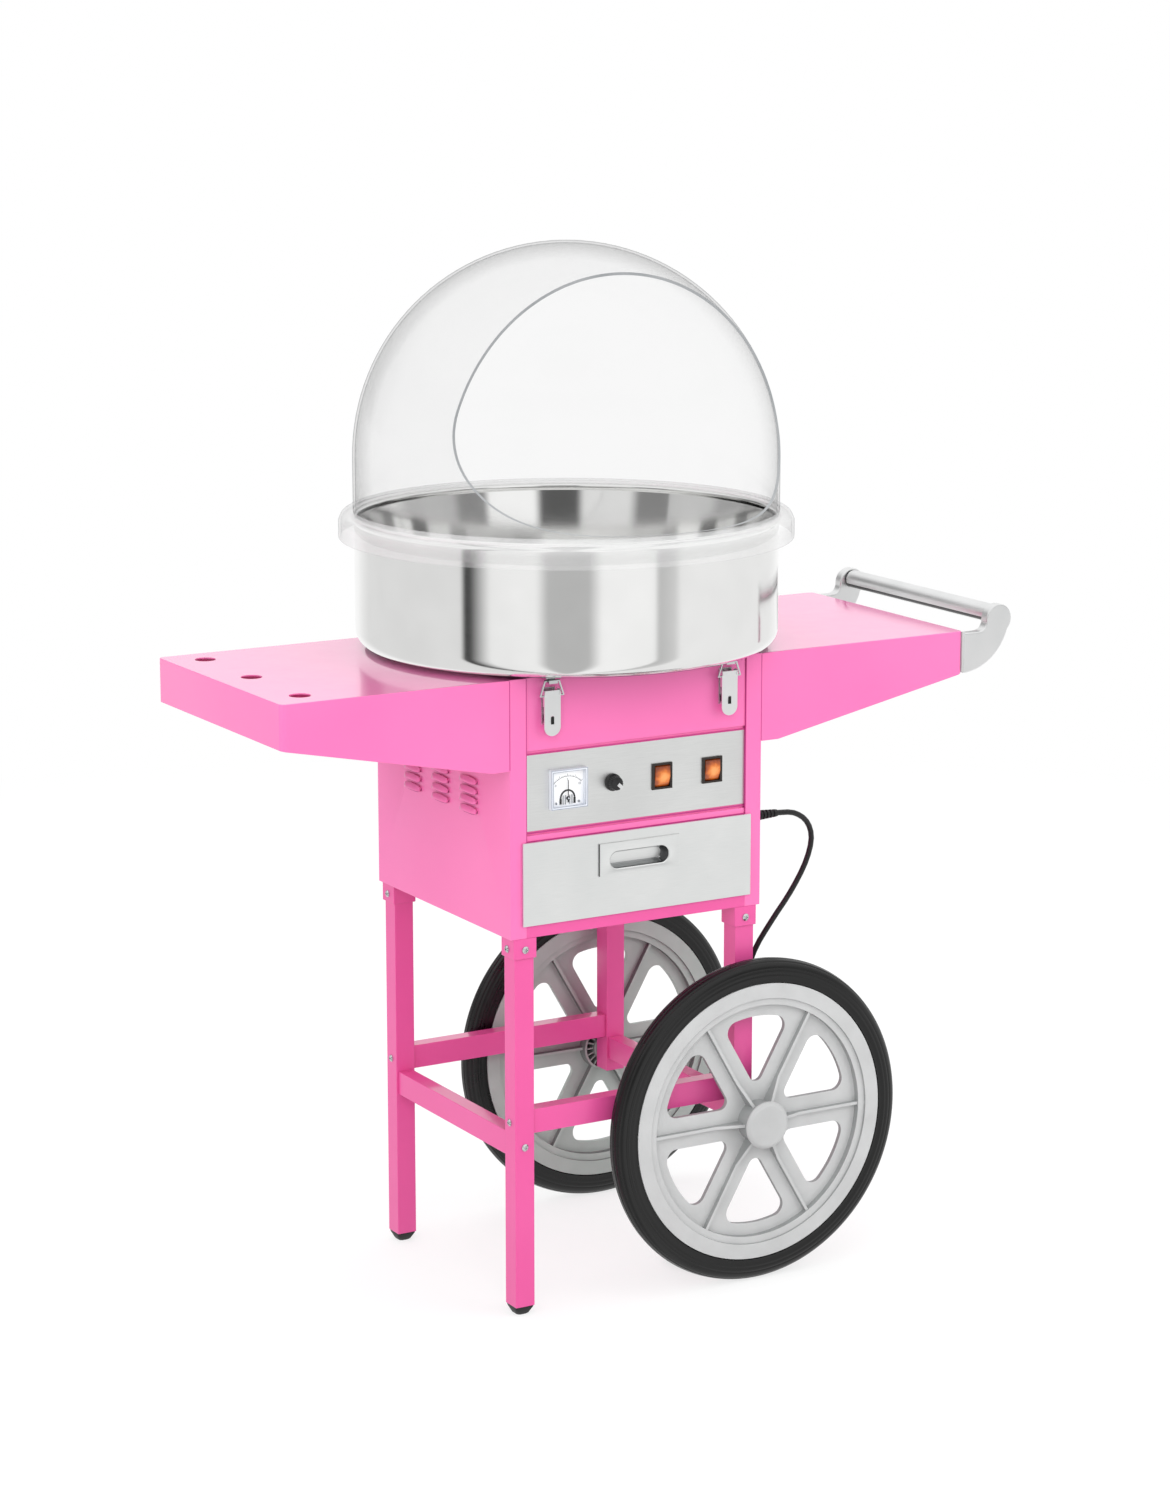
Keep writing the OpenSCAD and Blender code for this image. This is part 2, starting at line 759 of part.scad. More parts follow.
// Latch base on the front panel, with two ears that hold the lever's pin
module latch_base() {
    translate([-ear_x - latch_t, latch_out - latch_t, -base_drop])
        cube([2 * (ear_x + latch_t), latch_t, base_h]);
    difference() {
        for (side = [-1, 1]) {
            translate([side * (ear_x + latch_t / 2), 0, 0]) rotate([0, 90, 0])
                cylinder(r = ear_r, h = latch_t, center = true);
            translate([side * (ear_x + latch_t / 2), (latch_out - latch_t) / 2, (ear_web_rise - ear_r) / 2])
                cube([latch_t, latch_out - latch_t, ear_r + ear_web_rise], center = true);
        }
        rotate([0, 90, 0]) cylinder(r = latch_pin_r + fit_gap, h = lever_w, center = true);
    }
}

module latch_bases() {
    color("silver") for (side = [-1, 1])
        at_latch(side) latch_base();
}

// Toggle lever with two wings and its pivot pin
module latch_lever() {
    plate_out = lever_plate_y;
    difference() {
        union() {
            translate([-lever_w / 2, -plate_out, -lever_l + lever_w / 2])
                cube([lever_w, latch_t, lever_l - lever_w / 2 + 3.5]);
            translate([0, -plate_out + latch_t, -lever_l + lever_w / 2])
                rotate([90, 0, 0]) cylinder(r = lever_w / 2, h = latch_t);
            for (side = [-1, 1]) {
                translate([side * (lever_w - latch_t) / 2, 0, 0]) rotate([0, 90, 0])
                    cylinder(r = 5, h = latch_t, center = true);
                translate([side * (lever_w - latch_t) / 2, -plate_out / 2, -6])
                    cube([latch_t, plate_out, 19], center = true);
            }
        }
        translate([0, bail_pin_y, bail_pin_z]) rotate([0, 90, 0])
            cylinder(r = wire_r + fit_gap, h = lever_w + 2 * cut, center = true);
        translate([0, -plate_out + latch_t + cut, -lever_l + 22]) rotate([90, 0, 0])
            cylinder(r = 2.2, h = latch_t + 2 * cut);
        translate([-2.2, -plate_out - cut, -lever_l + 14]) cube([4.4, latch_t + 2 * cut, 8]);
    }
    rotate([0, 90, 0]) cylinder(r = latch_pin_r, h = lever_w - latch_t, center = true);
}

module left_latch_lever() {
    color("silver") at_latch(-1) latch_lever();
}

module right_latch_lever() {
    color("silver") at_latch(1) latch_lever();
}

// One straight stretch of the bail's wire with a round end
module wire_stretch(a, b) {
    d = b - a;
    l = norm(d);
    translate(a) rotate([0, acos(d[2] / l), atan2(d[1], d[0])]) cylinder(r = wire_r, h = l, $fn = 32);
    translate(b) sphere(wire_r, $fn = 32);
}

// Wire loop that turns in the lever's wings and pulls the bowl's catch down
module latch_bail() {
    low = bail_pin_z;
    for (side = [-1, 1]) {
        translate([side * bail_w / 2, bail_pin_y, low]) sphere(wire_r, $fn = 32);
        translate([side * (lever_w / 2 - latch_t), bail_pin_y, low]) rotate([0, side * 90, 0])
            cylinder(r = wire_r, h = (bail_w - lever_w) / 2 + latch_t, $fn = 32);
        wire_stretch([side * bail_w / 2, bail_pin_y, low], [side * bail_top_w / 2, bail_pin_y, bail_top]);
    }
    translate([0, bail_pin_y, bail_top]) rotate([0, 90, 0]) cylinder(r = wire_r, h = bail_top_w, center = true, $fn = 32);
}

module left_latch_bail() {
    color("silver") at_latch(-1) latch_bail();
}

module right_latch_bail() {
    color("silver") at_latch(1) latch_bail();
}

// Hook under the bowl: a strap on its flat floor that turns down and forms an open J for the bail
module bowl_catch() {
    bail_side = wire_r + bail_crank * (1 - cos(45)) + run_gap;
    y_web = bail_pin_y + bail_side;
    y_lip = bail_pin_y - bail_side;
    floor_z = bail_top - wire_r - run_gap;
    strap_z = bowl_z - latch_z;
    flat_y = -sqrt(pow(bowl_r - bowl_corner_r, 2) - pow(latch_x + 6, 2)) - latch_y;
    strap_y = max(y_web, flat_y) + 12;
    along_x(12) polygon([
        [strap_y, strap_z], [strap_y, strap_z - 1.5], [y_web + 1.5, strap_z - 1.5],
        [y_web + 1.5, floor_z - 1.5], [y_lip - 1.5, floor_z - 1.5], [y_lip - 1.5, floor_z + 2.4],
        [y_lip, floor_z + 2.4], [y_lip, floor_z], [y_web, floor_z], [y_web, strap_z]
    ]);
    translate([0, strap_y + 4, strap_z - 0.75]) cube([12, 10, 1.5], center = true);
}

module bowl_catches() {
    color("silver") for (side = [-1, 1])
        at_latch(side) bowl_catch();
}

// Half section of the bowl's outside, drawn smaller by inset
module bowl_section(inset) {
    ring = bowl_r - bowl_corner_r;
    translate([0, inset]) square([ring, bowl_h]);
    translate([0, bowl_corner_r]) square([bowl_r - inset, bowl_h]);
    translate([ring, bowl_corner_r]) circle(bowl_corner_r - inset);
}

module bowl() {
    color(steel) on_cabinet() translate([0, 0, bowl_z]) rotate_extrude($fn = 192) {
        difference() {
            bowl_section(0);
            bowl_section(bowl_t);
            translate([-cut, -cut]) square([bowl_hole_r + cut, bowl_h]);
            translate([-cut, bowl_h - bead_r]) square([bowl_r + 2 * cut, bowl_h]);
        }
        translate([bowl_hole_r, 0]) square([bowl_t, 9]);
        translate([bowl_r - bowl_t / 2, bowl_h - bead_r]) circle(bead_r, $fn = 32);
    }
}

module bowl_pads() {
    color(black) on_cabinet() for (x = [-1, 1], y = [-1, 1])
        translate([x * pad_place, y * pad_place, deck_z]) cylinder(r = pad_r, h = pad_h);
}

motor_top = deck_z - sheet_t;
motor_plate_t = 2.5;
shaft_foot = motor_top - motor_plate_t - motor_h + 15;

module motor() {
    color("dimgray") on_cabinet() difference() {
        union() {
            translate([-motor_r - 12, -motor_r - 12, motor_top - motor_plate_t])
                cube([2 * motor_r + 24, 2 * motor_r + 24, motor_plate_t]);
            translate([0, 0, motor_top - motor_plate_t - motor_h]) cylinder(r = motor_r, h = motor_h);
        }
        translate([0, 0, shaft_foot - run_gap]) cylinder(r = shaft_r + fit_gap, h = motor_h + cut);
    }
}

module spinner_shaft() {
    color("silver") on_cabinet() translate([0, 0, shaft_foot]) cylinder(r = shaft_r, h = band_z + 10 - shaft_foot);
}

module spinner_base() {
    color("silver") on_cabinet() translate([0, 0, head_z]) difference() {
        union() {
            cylinder(r = head_r, h = head_floor_t + head_rim_h);
            translate([0, 0, -6]) cylinder(r = shaft_r + 9, h = 8);
        }
        difference() {
            translate([0, 0, head_floor_t]) cylinder(r = head_r - head_wall, h = head_rim_h + cut);
            cylinder(r = shaft_r + 7, h = head_floor_t + 8);
        }
        translate([0, 0, -6 - cut]) cylinder(r = shaft_r, h = head_floor_t + head_rim_h + 6 + 2 * cut);
    }
}

module spinner_band() {
    band_r = head_r - head_wall;
    color("gray") on_cabinet() translate([0, 0, band_z]) difference() {
        cylinder(r = band_r, h = band_h);
        translate([0, 0, -cut]) cylinder(r = band_r - band_t, h = band_h + 2 * cut);
        for (i = [0:band_slots - 1])
            rotate(i * 360 / band_slots) translate([band_r - band_t - cut, -0.8, head_rim_h + 3])
                cube([band_t + 2 * cut, 1.6, band_h - 2 * head_rim_h - 6]);
    }
}

module spinner_cap() {
    color("silver") on_cabinet() translate([0, 0, cap_z]) rotate_extrude() polygon([
        [head_r - head_wall, 0], [head_r - head_wall, -head_rim_h], [head_r, -head_rim_h], [head_r, 1],
        [head_r - 3, 3], [mouth_r + 5, 6], [mouth_r + 2, mouth_h], [mouth_r, mouth_h], [mouth_r, 3],
        [head_r - head_wall - band_t, 0]
    ]);
}

module dome_section(r) {
    square([r, dome_wall_h]);
    translate([0, dome_wall_h]) intersection() {
        circle(r, $fn = 192);
        square([r, r]);
    }
}

// Clear dome with a wide opening at the front that ends in a rounded sill
module dome() {
    curve_y = -opening_y - opening_curve_r;
    curve_z = sill_z + opening_curve_r;
    reach = 1.2 * dome_r;
    color([0.9, 0.95, 1, 0.3]) on_cabinet() difference() {
        translate([0, 0, dome_z]) rotate_extrude($fn = 192) difference() {
            dome_section(dome_r);
            translate([-cut, -cut]) square([dome_r - dome_t + cut, cut + 0.001]);
            dome_section(dome_r - dome_t);
        }
        translate([-reach, -reach, curve_z]) cube([2 * reach, reach - opening_y, 2 * dome_r]);
        translate([-reach, -reach - opening_curve_r, sill_z])
            cube([2 * reach, reach + opening_curve_r + curve_y, opening_curve_r + cut]);
        translate([0, curve_y, curve_z]) rotate([0, 90, 0])
            cylinder(r = opening_curve_r, h = 2 * reach, center = true);
    }
}

// Flange around the dome's foot that hangs outside the bowl's rim
module dome_ring() {
    top = opening_sill - 1;
    out = dome_r + flange_out;
    color([0.9, 0.95, 1, 0.4]) on_cabinet() translate([0, 0, rim_z]) rotate_extrude($fn = 192) polygon([
        [dome_r, top], [dome_r + 7, top - 1], [out - 4, top - 6], [out, top - 14],
        [out, top - flange_h + 6], [out - 3, top - flange_h], [out - 3 - flange_t, top - flange_h + 2],
        [out - flange_t, top - flange_h + 8], [out - flange_t, top - 13.5], [out - 6, top - 8],
        [dome_r + 6, top - flange_t - 1], [dome_r, top - flange_t]
    ]);
}

drawer_y = -half_d - run_gap - drawer_front_t;
tray_z = drawer_z + run_gap;
tray_half_w = bay_half_w - 5;
runner_h = 18;
pull_z = drawer_z + drawer_front_h - pull_h / 2 - pull_drop;
slot_z = pull_z - slot_drop;

// Finger slot with round ends, drawn larger all round by grow
module slot_outline(grow) {
    r = slot_h / 2 + grow;
    span = slot_w - slot_h;
    square([span, 2 * r], center = true);
    for (side = [-1, 1])
        translate([side * span / 2, 0]) circle(r);
}

module drawer_tray() {
    color(steel) on_cabinet() translate([0, drawer_y + drawer_front_t, tray_z]) difference() {
        translate([-tray_half_w, 0, 0]) cube([2 * tray_half_w, tray_d, tray_h]);
        translate([-tray_half_w + tray_t, tray_t, tray_t])
            cube([2 * (tray_half_w - tray_t), tray_d - 2 * tray_t, tray_h]);
        translate([-slot_w / 2 - tray_t, -cut, slot_z - tray_z - slot_h / 2 - tray_t])
            cube([slot_w + 2 * tray_t, tray_t + 2 * cut, tray_h]);
    }
}

module drawer_front() {
    front_half_w = bay_half_w + drawer_overlap;
    color(steel) on_cabinet() difference() {
        translate([-front_half_w, drawer_y, drawer_z]) cube([2 * front_half_w, drawer_front_t, drawer_front_h]);
        translate([0, 0, slot_z]) along_y(drawer_y - cut, drawer_front_t + 2 * cut) slot_outline(tray_t);
    }
}

// Raised plate with a pressed finger pocket behind its slot
module drawer_pull() {
    pocket_y = drawer_y - pull_t;
    color(steel) on_cabinet() translate([0, 0, slot_z]) difference() {
        union() {
            translate([-pull_w / 2, pocket_y, slot_drop - pull_h / 2]) cube([pull_w, pull_t, pull_h]);
            along_y(pocket_y, pocket_d) slot_outline(tray_t);
        }
        along_y(pocket_y - cut, pocket_d - tray_t + cut) slot_outline(0);
    }
}

// Angle rails on the side panels that carry the tray
module drawer_runners() {
    runner_z = drawer_z - sheet_t;
    color("silver") on_cabinet() for (side = [0, 1]) mirror([side, 0, 0])
        translate([-inner_half_w, -inner_half_d + 2, runner_z]) {
            cube([inner_half_w - tray_half_w + 14, tray_d - 6, sheet_t]);
            cube([sheet_t, tray_d - 6, runner_h]);
        }
}

// Square tube along Z from z to z + h
module leg_tube(z, h) {
    translate([0, 0, z + h / 2]) difference() {
        cube([leg_w, leg_w, h], center = true);
        cube([leg_w - 2 * tube_t, leg_w - 2 * tube_t, h + 2 * cut], center = true);
    }
}

module at_leg(x, y) {
    on_cabinet() translate([x * leg_x, y * leg_y, 0]) children();
}

module long_leg() {
    leg_tube(foot_h, cabinet_z - foot_h);
}

// Short leg with the hole that the axle passes through
module short_leg() {
    difference() {
        leg_tube(short_leg_z, cabinet_z - short_leg_z);
        translate([axle_shift, 0, axle_z]) rotate([90, 0, 0]) cylinder(r = axle_r, h = leg_w + 2 * cut, center = true);
    }
}

module front_left_leg() {
    color(pink) at_leg(-1, -1) long_leg();
}

module rear_left_leg() {
    color(pink) at_leg(-1, 1) long_leg();
}

module front_right_leg() {
    color(pink) at_leg(1, -1) short_leg();
}

module rear_right_leg() {
    color(pink) at_leg(1, 1) short_leg();
}

module leg_sockets() {
    outer = leg_w + 2 * socket_t;
    color(pink) for (x = [-1, 1], y = [-1, 1])
        at_leg(x, y) translate([0, 0, cabinet_z - socket_h / 2]) difference() {
            cube([outer, outer, socket_h], center = true);
            cube([leg_w, leg_w, socket_h + 2 * cut], center = true);
        }
}

module rubber_feet() {
    inner = leg_w - 2 * tube_t;
    foot_plug_h = 33;
    color(black) for (y = [-1, 1])
        at_leg(-1, y) {
            translate([0, 0, foot_h / 2]) cube([leg_w - 2, leg_w - 2, foot_h], center = true);
            translate([-inner / 2, -inner / 2, foot_h - 3]) cube([inner, inner, foot_plug_h]);
        }
}

// Rail tube along X, its lower face at z
module long_rail(side) {
    on_cabinet() translate([0, side * leg_y, long_rail_z + rail_h / 2]) difference() {
        cube([2 * leg_x - leg_w, rail_w, rail_h], center = true);
        cube([2 * leg_x, rail_w - 2 * tube_t, rail_h - 2 * tube_t], center = true);
    }
}

// Rail tube along Y, its lower face at z
module cross_rail(side) {
    on_cabinet() translate([side * leg_x, 0, cross_rail_z + rail_h / 2]) difference() {
        cube([rail_w, 2 * leg_y - leg_w, rail_h], center = true);
        cube([rail_w - 2 * tube_t, 2 * leg_y, rail_h - 2 * tube_t], center = true);
    }
}

module front_rail() {
    color(pink) long_rail(-1);
}

module rear_rail() {
    color(pink) long_rail(1);
}

module left_rail() {
    color(pink) cross_rail(-1);
}

module right_rail() {
    color(pink) cross_rail(1);
}

// Pan head with a cross recess, standing out along +Z
module screw_head() {
    difference() {
        rotate_extrude($fn = 32) polygon([
            [0, 0], [screw_r, 0], [screw_r, screw_h * 0.4], [screw_r * 0.6, screw_h * 0.9], [0, screw_h]
        ]);
        for (a = [0, 90])
            rotate(a) translate([-screw_r / 2, -0.6, screw_h * 0.5]) cube([screw_r, 1.2, screw_h]);
    }
}

// Axle nut and the washer behind the hub, with the leg's outer face at Z = 0
module axle_hardware() {
    difference() {
        union() {
            cylinder(r = axle_r + 5, h = washer_t);
            translate([0, 0, washer_t + hub_in + nut_seat + 2 * run_gap]) cylinder(r = nut_r, h = nut_h, $fn = 6);
        }
        translate([0, 0, -cut]) cylinder(r = axle_r, h = wheel_y);
    }
}

module fasteners() {
    leg_face = leg_w / 2;
    socket_face = leg_face + socket_t;
    socket_screw_z = cabinet_z - socket_h * 0.56;
    color("silver") {
        for (x = [-1, 1], y = [-1, 1]) {
            at_leg(x, y) translate([x * socket_face, 0, socket_screw_z]) rotate([0, x * 90, 0]) screw_head();
            at_leg(x, y) translate([0, y * socket_face, socket_screw_z]) rotate([-y * 90, 0, 0]) screw_head();
            at_leg(x, y) translate([x * leg_face, 0, long_rail_z + rail_h / 2]) rotate([0, x * 90, 0]) screw_head();
        }
        for (y = [-1, 1]) {
            at_leg(-1, y) translate([0, y * leg_face, cross_rail_z + rail_h / 2]) rotate([-y * 90, 0, 0]) screw_head();
            at_leg(1, y) translate([axle_shift, y * leg_face, axle_z]) rotate([-y * 90, 0, 0]) axle_hardware();
        }
    }
}

module axle() {
    color("silver") on_cabinet() translate([axle_x, 0, axle_z]) rotate([90, 0, 0])
        cylinder(r = axle_r, h = 2 * (wheel_y + hub_out - 3), center = true);
}

// Places a wheel that is drawn around Z, with its outer side up
module at_wheel(side) {
    on_cabinet() translate([axle_x, side * wheel_y, axle_z]) rotate([-90 * side, 0, 0]) children();
}

// Points along an arc from angle a to angle b
function arc(c, r, a, b) = [for (i = [0:8]) c + r * [cos(a + (b - a) * i / 8), sin(a + (b - a) * i / 8)]];

// Rounded triangular window between two spokes, pointing along +X
function window_points(inner_r, outer_r, half_angle) =
    let (
        tip = (spoke_half_w + inner_r) / sin(half_angle),
        far = window_r - outer_r,
        lean = half_angle - asin((spoke_half_w + outer_r) / far)
    )
    concat(
        arc([tip, 0], inner_r, 90 + half_angle, 270 - half_angle),
        arc(far * [cos(lean), -sin(lean)], outer_r, -90 - half_angle, -lean),
        arc([0, 0], window_r, -lean * 0.8, lean * 0.8),
        arc(far * [cos(lean), sin(lean)], outer_r, lean, 90 + half_angle)
    );

// Wheel with a stepped rim, spokes with ribs, an outer barrel and a pocketed inner hub
module wheel_disc() {
    step_r = rim_r - 19;
    inner_step_r = step_r - 9;
    rim_h = tyre_w / 2 - 1;
    web = web_t / 2;
    core_r = 18;
    half_angle = 180 / spoke_count;
    difference() {
        union() {
            rotate_extrude($fn = 144) polygon([
                [step_r, rim_h], [rim_r, rim_h], [rim_r, -rim_h], [step_r, -rim_h], [step_r, -rim_h + 3],
                [inner_step_r, -rim_h + 3], [inner_step_r, -web], [core_r, -web], [core_r, -hub_in],
                [axle_r + fit_gap, -hub_in], [axle_r + fit_gap, nut_seat], [nut_bore_r, nut_seat],
                [nut_bore_r, hub_out], [hub_r, hub_out], [hub_r, web], [inner_step_r, web],
                [inner_step_r, rim_h - 3], [step_r, rim_h - 3]
            ]);
            translate([0, 0, -hub_in + 2]) difference() {
                cylinder(r = pocket_ring_r, h = hub_in - web - 1);
                translate([0, 0, -cut]) cylinder(r = pocket_ring_r - 3, h = hub_in);
            }
            for (i = [0:19])
                rotate(i * 18) translate([core_r - 1, -1, -hub_in + 3]) cube([pocket_ring_r - core_r - 1, 2, hub_in - web - 2]);
            for (i = [0:spoke_count - 1])
                rotate(i * 2 * half_angle) along_y(-rib_t / 2, rib_t) {
                    polygon([[hub_r - 1, 0], [step_r + 1, 0], [step_r + 1, rim_h - 2],
                        [inner_step_r, web + 6.5], [hub_r + rib_foot, web + 6], [hub_r - 1, web + 17]]);
                    polygon([[pocket_ring_r - 1, 0], [step_r + 1, 0], [step_r + 1, -rim_h + 2],
                        [inner_step_r, -web - 6.5], [pocket_ring_r - 1, -web - 8]]);
                }
        }
        for (i = [0:spoke_count - 1])
            rotate((2 * i + 1) * half_angle) translate([0, 0, -web - cut]) linear_extrude(web_t + 2 * cut)
                polygon(window_points(10, 14, half_angle));
    }
}

module wheel_tyre() {
    w = tyre_w / 2;
    rotate_extrude($fn = 144) {
        translate([rim_r, -w]) square([wheel_r - shoulder_r - rim_r, tyre_w]);
        translate([rim_r, -w + shoulder_r]) square([wheel_r - rim_r, tyre_w - 2 * shoulder_r]);
        for (side = [-1, 1])
            translate([wheel_r - shoulder_r, side * (w - shoulder_r)]) circle(shoulder_r, $fn = 48);
    }
}

module hub_cap() {
    translate([0, 0, hub_out]) rotate_extrude() polygon([
        [0, -2.3], [nut_bore_r, -2.3], [nut_bore_r, 0], [cap_r, 0], [cap_r, 3], [cap_r - 3, 6], [0, 6.8]
    ]);
}

module front_wheel() {
    color([0.82, 0.82, 0.82]) at_wheel(-1) wheel_disc();
}

module front_tyre() {
    color(black) at_wheel(-1) wheel_tyre();
}

module front_hub_cap() {
    color([0.8, 0.8, 0.8]) at_wheel(-1) hub_cap();
}

module rear_wheel() {
    color([0.82, 0.82, 0.82]) at_wheel(1) wheel_disc();
}

module rear_tyre() {
    color(black) at_wheel(1) wheel_tyre();
}

module rear_hub_cap() {
    color([0.8, 0.8, 0.8]) at_wheel(1) hub_cap();
}

relief_neck_r = 7;

// Strain relief through the right side panel, with a flange outside and a nut inside
module strain_relief() {
    color(black) on_cabinet() translate([half_w, -relief_y, cabinet_z + relief_z]) rotate([0, 90, 0]) {
        translate([0, 0, -sheet_t - 4]) cylinder(r = relief_neck_r + 3, h = 4);
        translate([0, 0, -sheet_t]) cylinder(r = relief_neck_r, h = sheet_t + 2);
        cylinder(r = relief_neck_r + 2.5, h = 2.5);
        rotate_extrude($fn = 48) polygon([
            [0, 0], [relief_neck_r, 0], [relief_neck_r - 0.5, relief_l * 0.4],
            [cord_r + 1, relief_l], [0, relief_l]
        ]);
    }
}

function unit(v) = v / norm(v);

// Point on a smooth curve through b and c, with a and d as its neighbours
function blend_point(a, b, c, d, t) =
    0.5 * (2 * b + (c - a) * t + (2 * a - 5 * b + 4 * c - d) * t * t + (3 * b - a - 3 * c + d) * t * t * t);

function smooth_route(p) =
    let (n = len(p) - 1)
    concat(
        [for (i = [0:n - 1], k = [0:cord_steps - 1])
            blend_point(p[max(i - 1, 0)], p[i], p[i + 1], p[min(i + 2, n)], k / cord_steps)],
        [p[n]]
    );

// Closed tube swept along a smooth curve through the route's points
module cord_tube(route) {
    p = smooth_route(route);
    n = len(p) - 1;
    run = [for (i = [0:n]) unit(p[min(i + 1, n)] - p[max(i - 1, 0)])];
    side = [
        for (i = 0, s = unit(cross(run[0], [0, 1, 0.1])); i <= n;
            i = i + 1, s = i <= n ? unit(s - (s * run[i]) * run[i]) : s) s
    ];
    points = [
        for (i = [0:n], k = [0:cord_sides - 1])
            let (a = k * 360 / cord_sides)
            p[i] + cord_r * (cos(a) * side[i] + sin(a) * cross(run[i], side[i]))
    ];
    m = cord_sides;
    walls = [
        for (i = [0:n - 1], k = [0:m - 1], half = [0, 1])
            let (a = i * m + k, b = i * m + (k + 1) % m)
            half == 0 ? [a, b + m, b] : [a, a + m, b + m]
    ];
    polyhedron(points, concat(walls, [[for (k = [0:m - 1]) k]], [[for (k = [m - 1:-1:0]) n * m + k]]));
}

module mains_cord() {
    color(black) {
        cord_tube(cord_route);
        cord_tube(tail_route);
    }
}

module cord_coil() {
    color(black) translate([coil_centre[0], coil_centre[1], 0]) rotate_extrude()
        translate([coil_mean_r - coil_half_w, 0]) square([2 * coil_half_w, coil_h]);
}

// Round mains plug lying on the ground, its cord entering at the place given
module mains_plug() {
    color(black) translate(plug_place) rotate([0, 0, plug_turn]) rotate([0, 90, 0]) {
        cylinder(r = plug_r * 0.55, h = 12);
        translate([0, 0, 8]) cylinder(r = plug_r, h = plug_l - 8);
        for (y = [-9.5, 9.5])
            translate([0, y, plug_l - cut]) cylinder(r = 2.4, h = 19 + cut, $fn = 24);
    }
}

left_side_panel();
right_side_panel();
rear_panel();
base_panel();
deck_panel();
front_panel();
control_plate();
left_shelf();
right_shelf();
handle_arms();
handle_bar();
meter_case();
meter_window();
meter_needle();
regulator_body();
control_knob();
switch_housings();
heat_rocker();
motor_rocker();
latch_bases();
left_latch_lever();
left_latch_bail();
right_latch_lever();
right_latch_bail();
bowl_catches();
bowl();
bowl_pads();
motor();
spinner_shaft();
spinner_base();
spinner_band();
spinner_cap();
dome();
dome_ring();
drawer_tray();
drawer_front();
drawer_pull();
drawer_runners();
front_left_leg();
rear_left_leg();
front_right_leg();
rear_right_leg();
leg_sockets();
rubber_feet();
front_rail();
rear_rail();
left_rail();
right_rail();
fasteners();
axle();
front_wheel();
front_tyre();
front_hub_cap();
rear_wheel();
rear_tyre();
rear_hub_cap();
strain_relief();
mains_cord();
cord_coil();
mains_plug();
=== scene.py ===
import math

import bmesh
import bpy
import numpy as np
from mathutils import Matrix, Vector


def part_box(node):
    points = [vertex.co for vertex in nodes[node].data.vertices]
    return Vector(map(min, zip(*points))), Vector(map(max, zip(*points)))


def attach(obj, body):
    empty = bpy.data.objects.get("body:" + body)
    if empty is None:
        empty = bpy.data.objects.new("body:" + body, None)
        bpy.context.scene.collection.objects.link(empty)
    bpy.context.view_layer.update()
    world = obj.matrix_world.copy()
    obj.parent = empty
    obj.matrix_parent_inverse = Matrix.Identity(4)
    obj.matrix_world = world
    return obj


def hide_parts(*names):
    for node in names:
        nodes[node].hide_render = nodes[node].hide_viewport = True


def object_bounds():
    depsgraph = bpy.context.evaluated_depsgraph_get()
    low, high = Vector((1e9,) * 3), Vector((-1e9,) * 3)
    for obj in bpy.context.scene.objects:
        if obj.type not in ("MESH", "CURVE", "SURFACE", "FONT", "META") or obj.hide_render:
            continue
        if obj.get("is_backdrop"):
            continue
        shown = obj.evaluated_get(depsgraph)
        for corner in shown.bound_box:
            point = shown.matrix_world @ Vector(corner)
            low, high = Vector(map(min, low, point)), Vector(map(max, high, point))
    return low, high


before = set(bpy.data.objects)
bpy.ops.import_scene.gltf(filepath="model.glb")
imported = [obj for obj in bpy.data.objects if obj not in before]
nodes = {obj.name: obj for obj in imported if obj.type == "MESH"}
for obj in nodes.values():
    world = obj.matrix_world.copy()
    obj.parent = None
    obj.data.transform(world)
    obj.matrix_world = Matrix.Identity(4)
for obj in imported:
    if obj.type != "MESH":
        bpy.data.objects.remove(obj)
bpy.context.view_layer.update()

scene = bpy.context.scene
mm = 0.001


def nodeCentre(node):
    low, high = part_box(node)
    return (low + high) / 2


cartX = nodeCentre("deck_panel").x
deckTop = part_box("deck_panel")[1].z
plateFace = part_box("control_plate")[0].y
controlZ = nodeCentre("switch_housings").z


# camera: the photograph's own place, found from the cabinet's and the wheels' corners
camera = {
    "place": (-2.27005, -3.8786, 1.6023),
    "yaw": 30.19,
    "pitch": 11.85,
    "lens": 89.7,
}


def makeCamera(s):
    yaw, pitch = math.radians(s["yaw"]), math.radians(s["pitch"])
    look = Vector((math.sin(yaw) * math.cos(pitch), math.cos(yaw) * math.cos(pitch), -math.sin(pitch)))
    data = bpy.data.cameras.new("photoCamera")
    data.lens, data.sensor_width, data.clip_end = s["lens"], 36, 100
    cam = bpy.data.objects.new("photoCamera", data)
    scene.collection.objects.link(cam)
    cam.location = s["place"]
    cam.rotation_euler = look.to_track_quat("-Z", "Y").to_euler()
    scene.camera = cam


makeCamera(camera)
print("camera placed")


# numpy surfaces and the meshes made of them

def gridFaces(rows, cols, wrapRows, wrapCols):
    # corner numbers of every cell of a grid, rows by columns
    r = np.arange(rows if wrapRows else rows - 1)
    c = np.arange(cols if wrapCols else cols - 1)
    r, c = np.meshgrid(r, c, indexing="ij")
    up, on = (r + 1) % rows, (c + 1) % cols
    return np.stack([r * cols + c, r * cols + on, up * cols + on, up * cols + c], -1).reshape(-1, 4)


def finishMesh(mesh, smooth=True, weld=1e-6):
    bm = bmesh.new()
    bm.from_mesh(mesh)
    bmesh.ops.remove_doubles(bm, verts=bm.verts, dist=weld)
    bmesh.ops.dissolve_degenerate(bm, edges=bm.edges, dist=1e-7)
    bmesh.ops.recalc_face_normals(bm, faces=bm.faces)
    bm.to_mesh(mesh)
    bm.free()
    mesh.polygons.foreach_set("use_smooth", np.full(len(mesh.polygons), smooth))
    mesh.update()


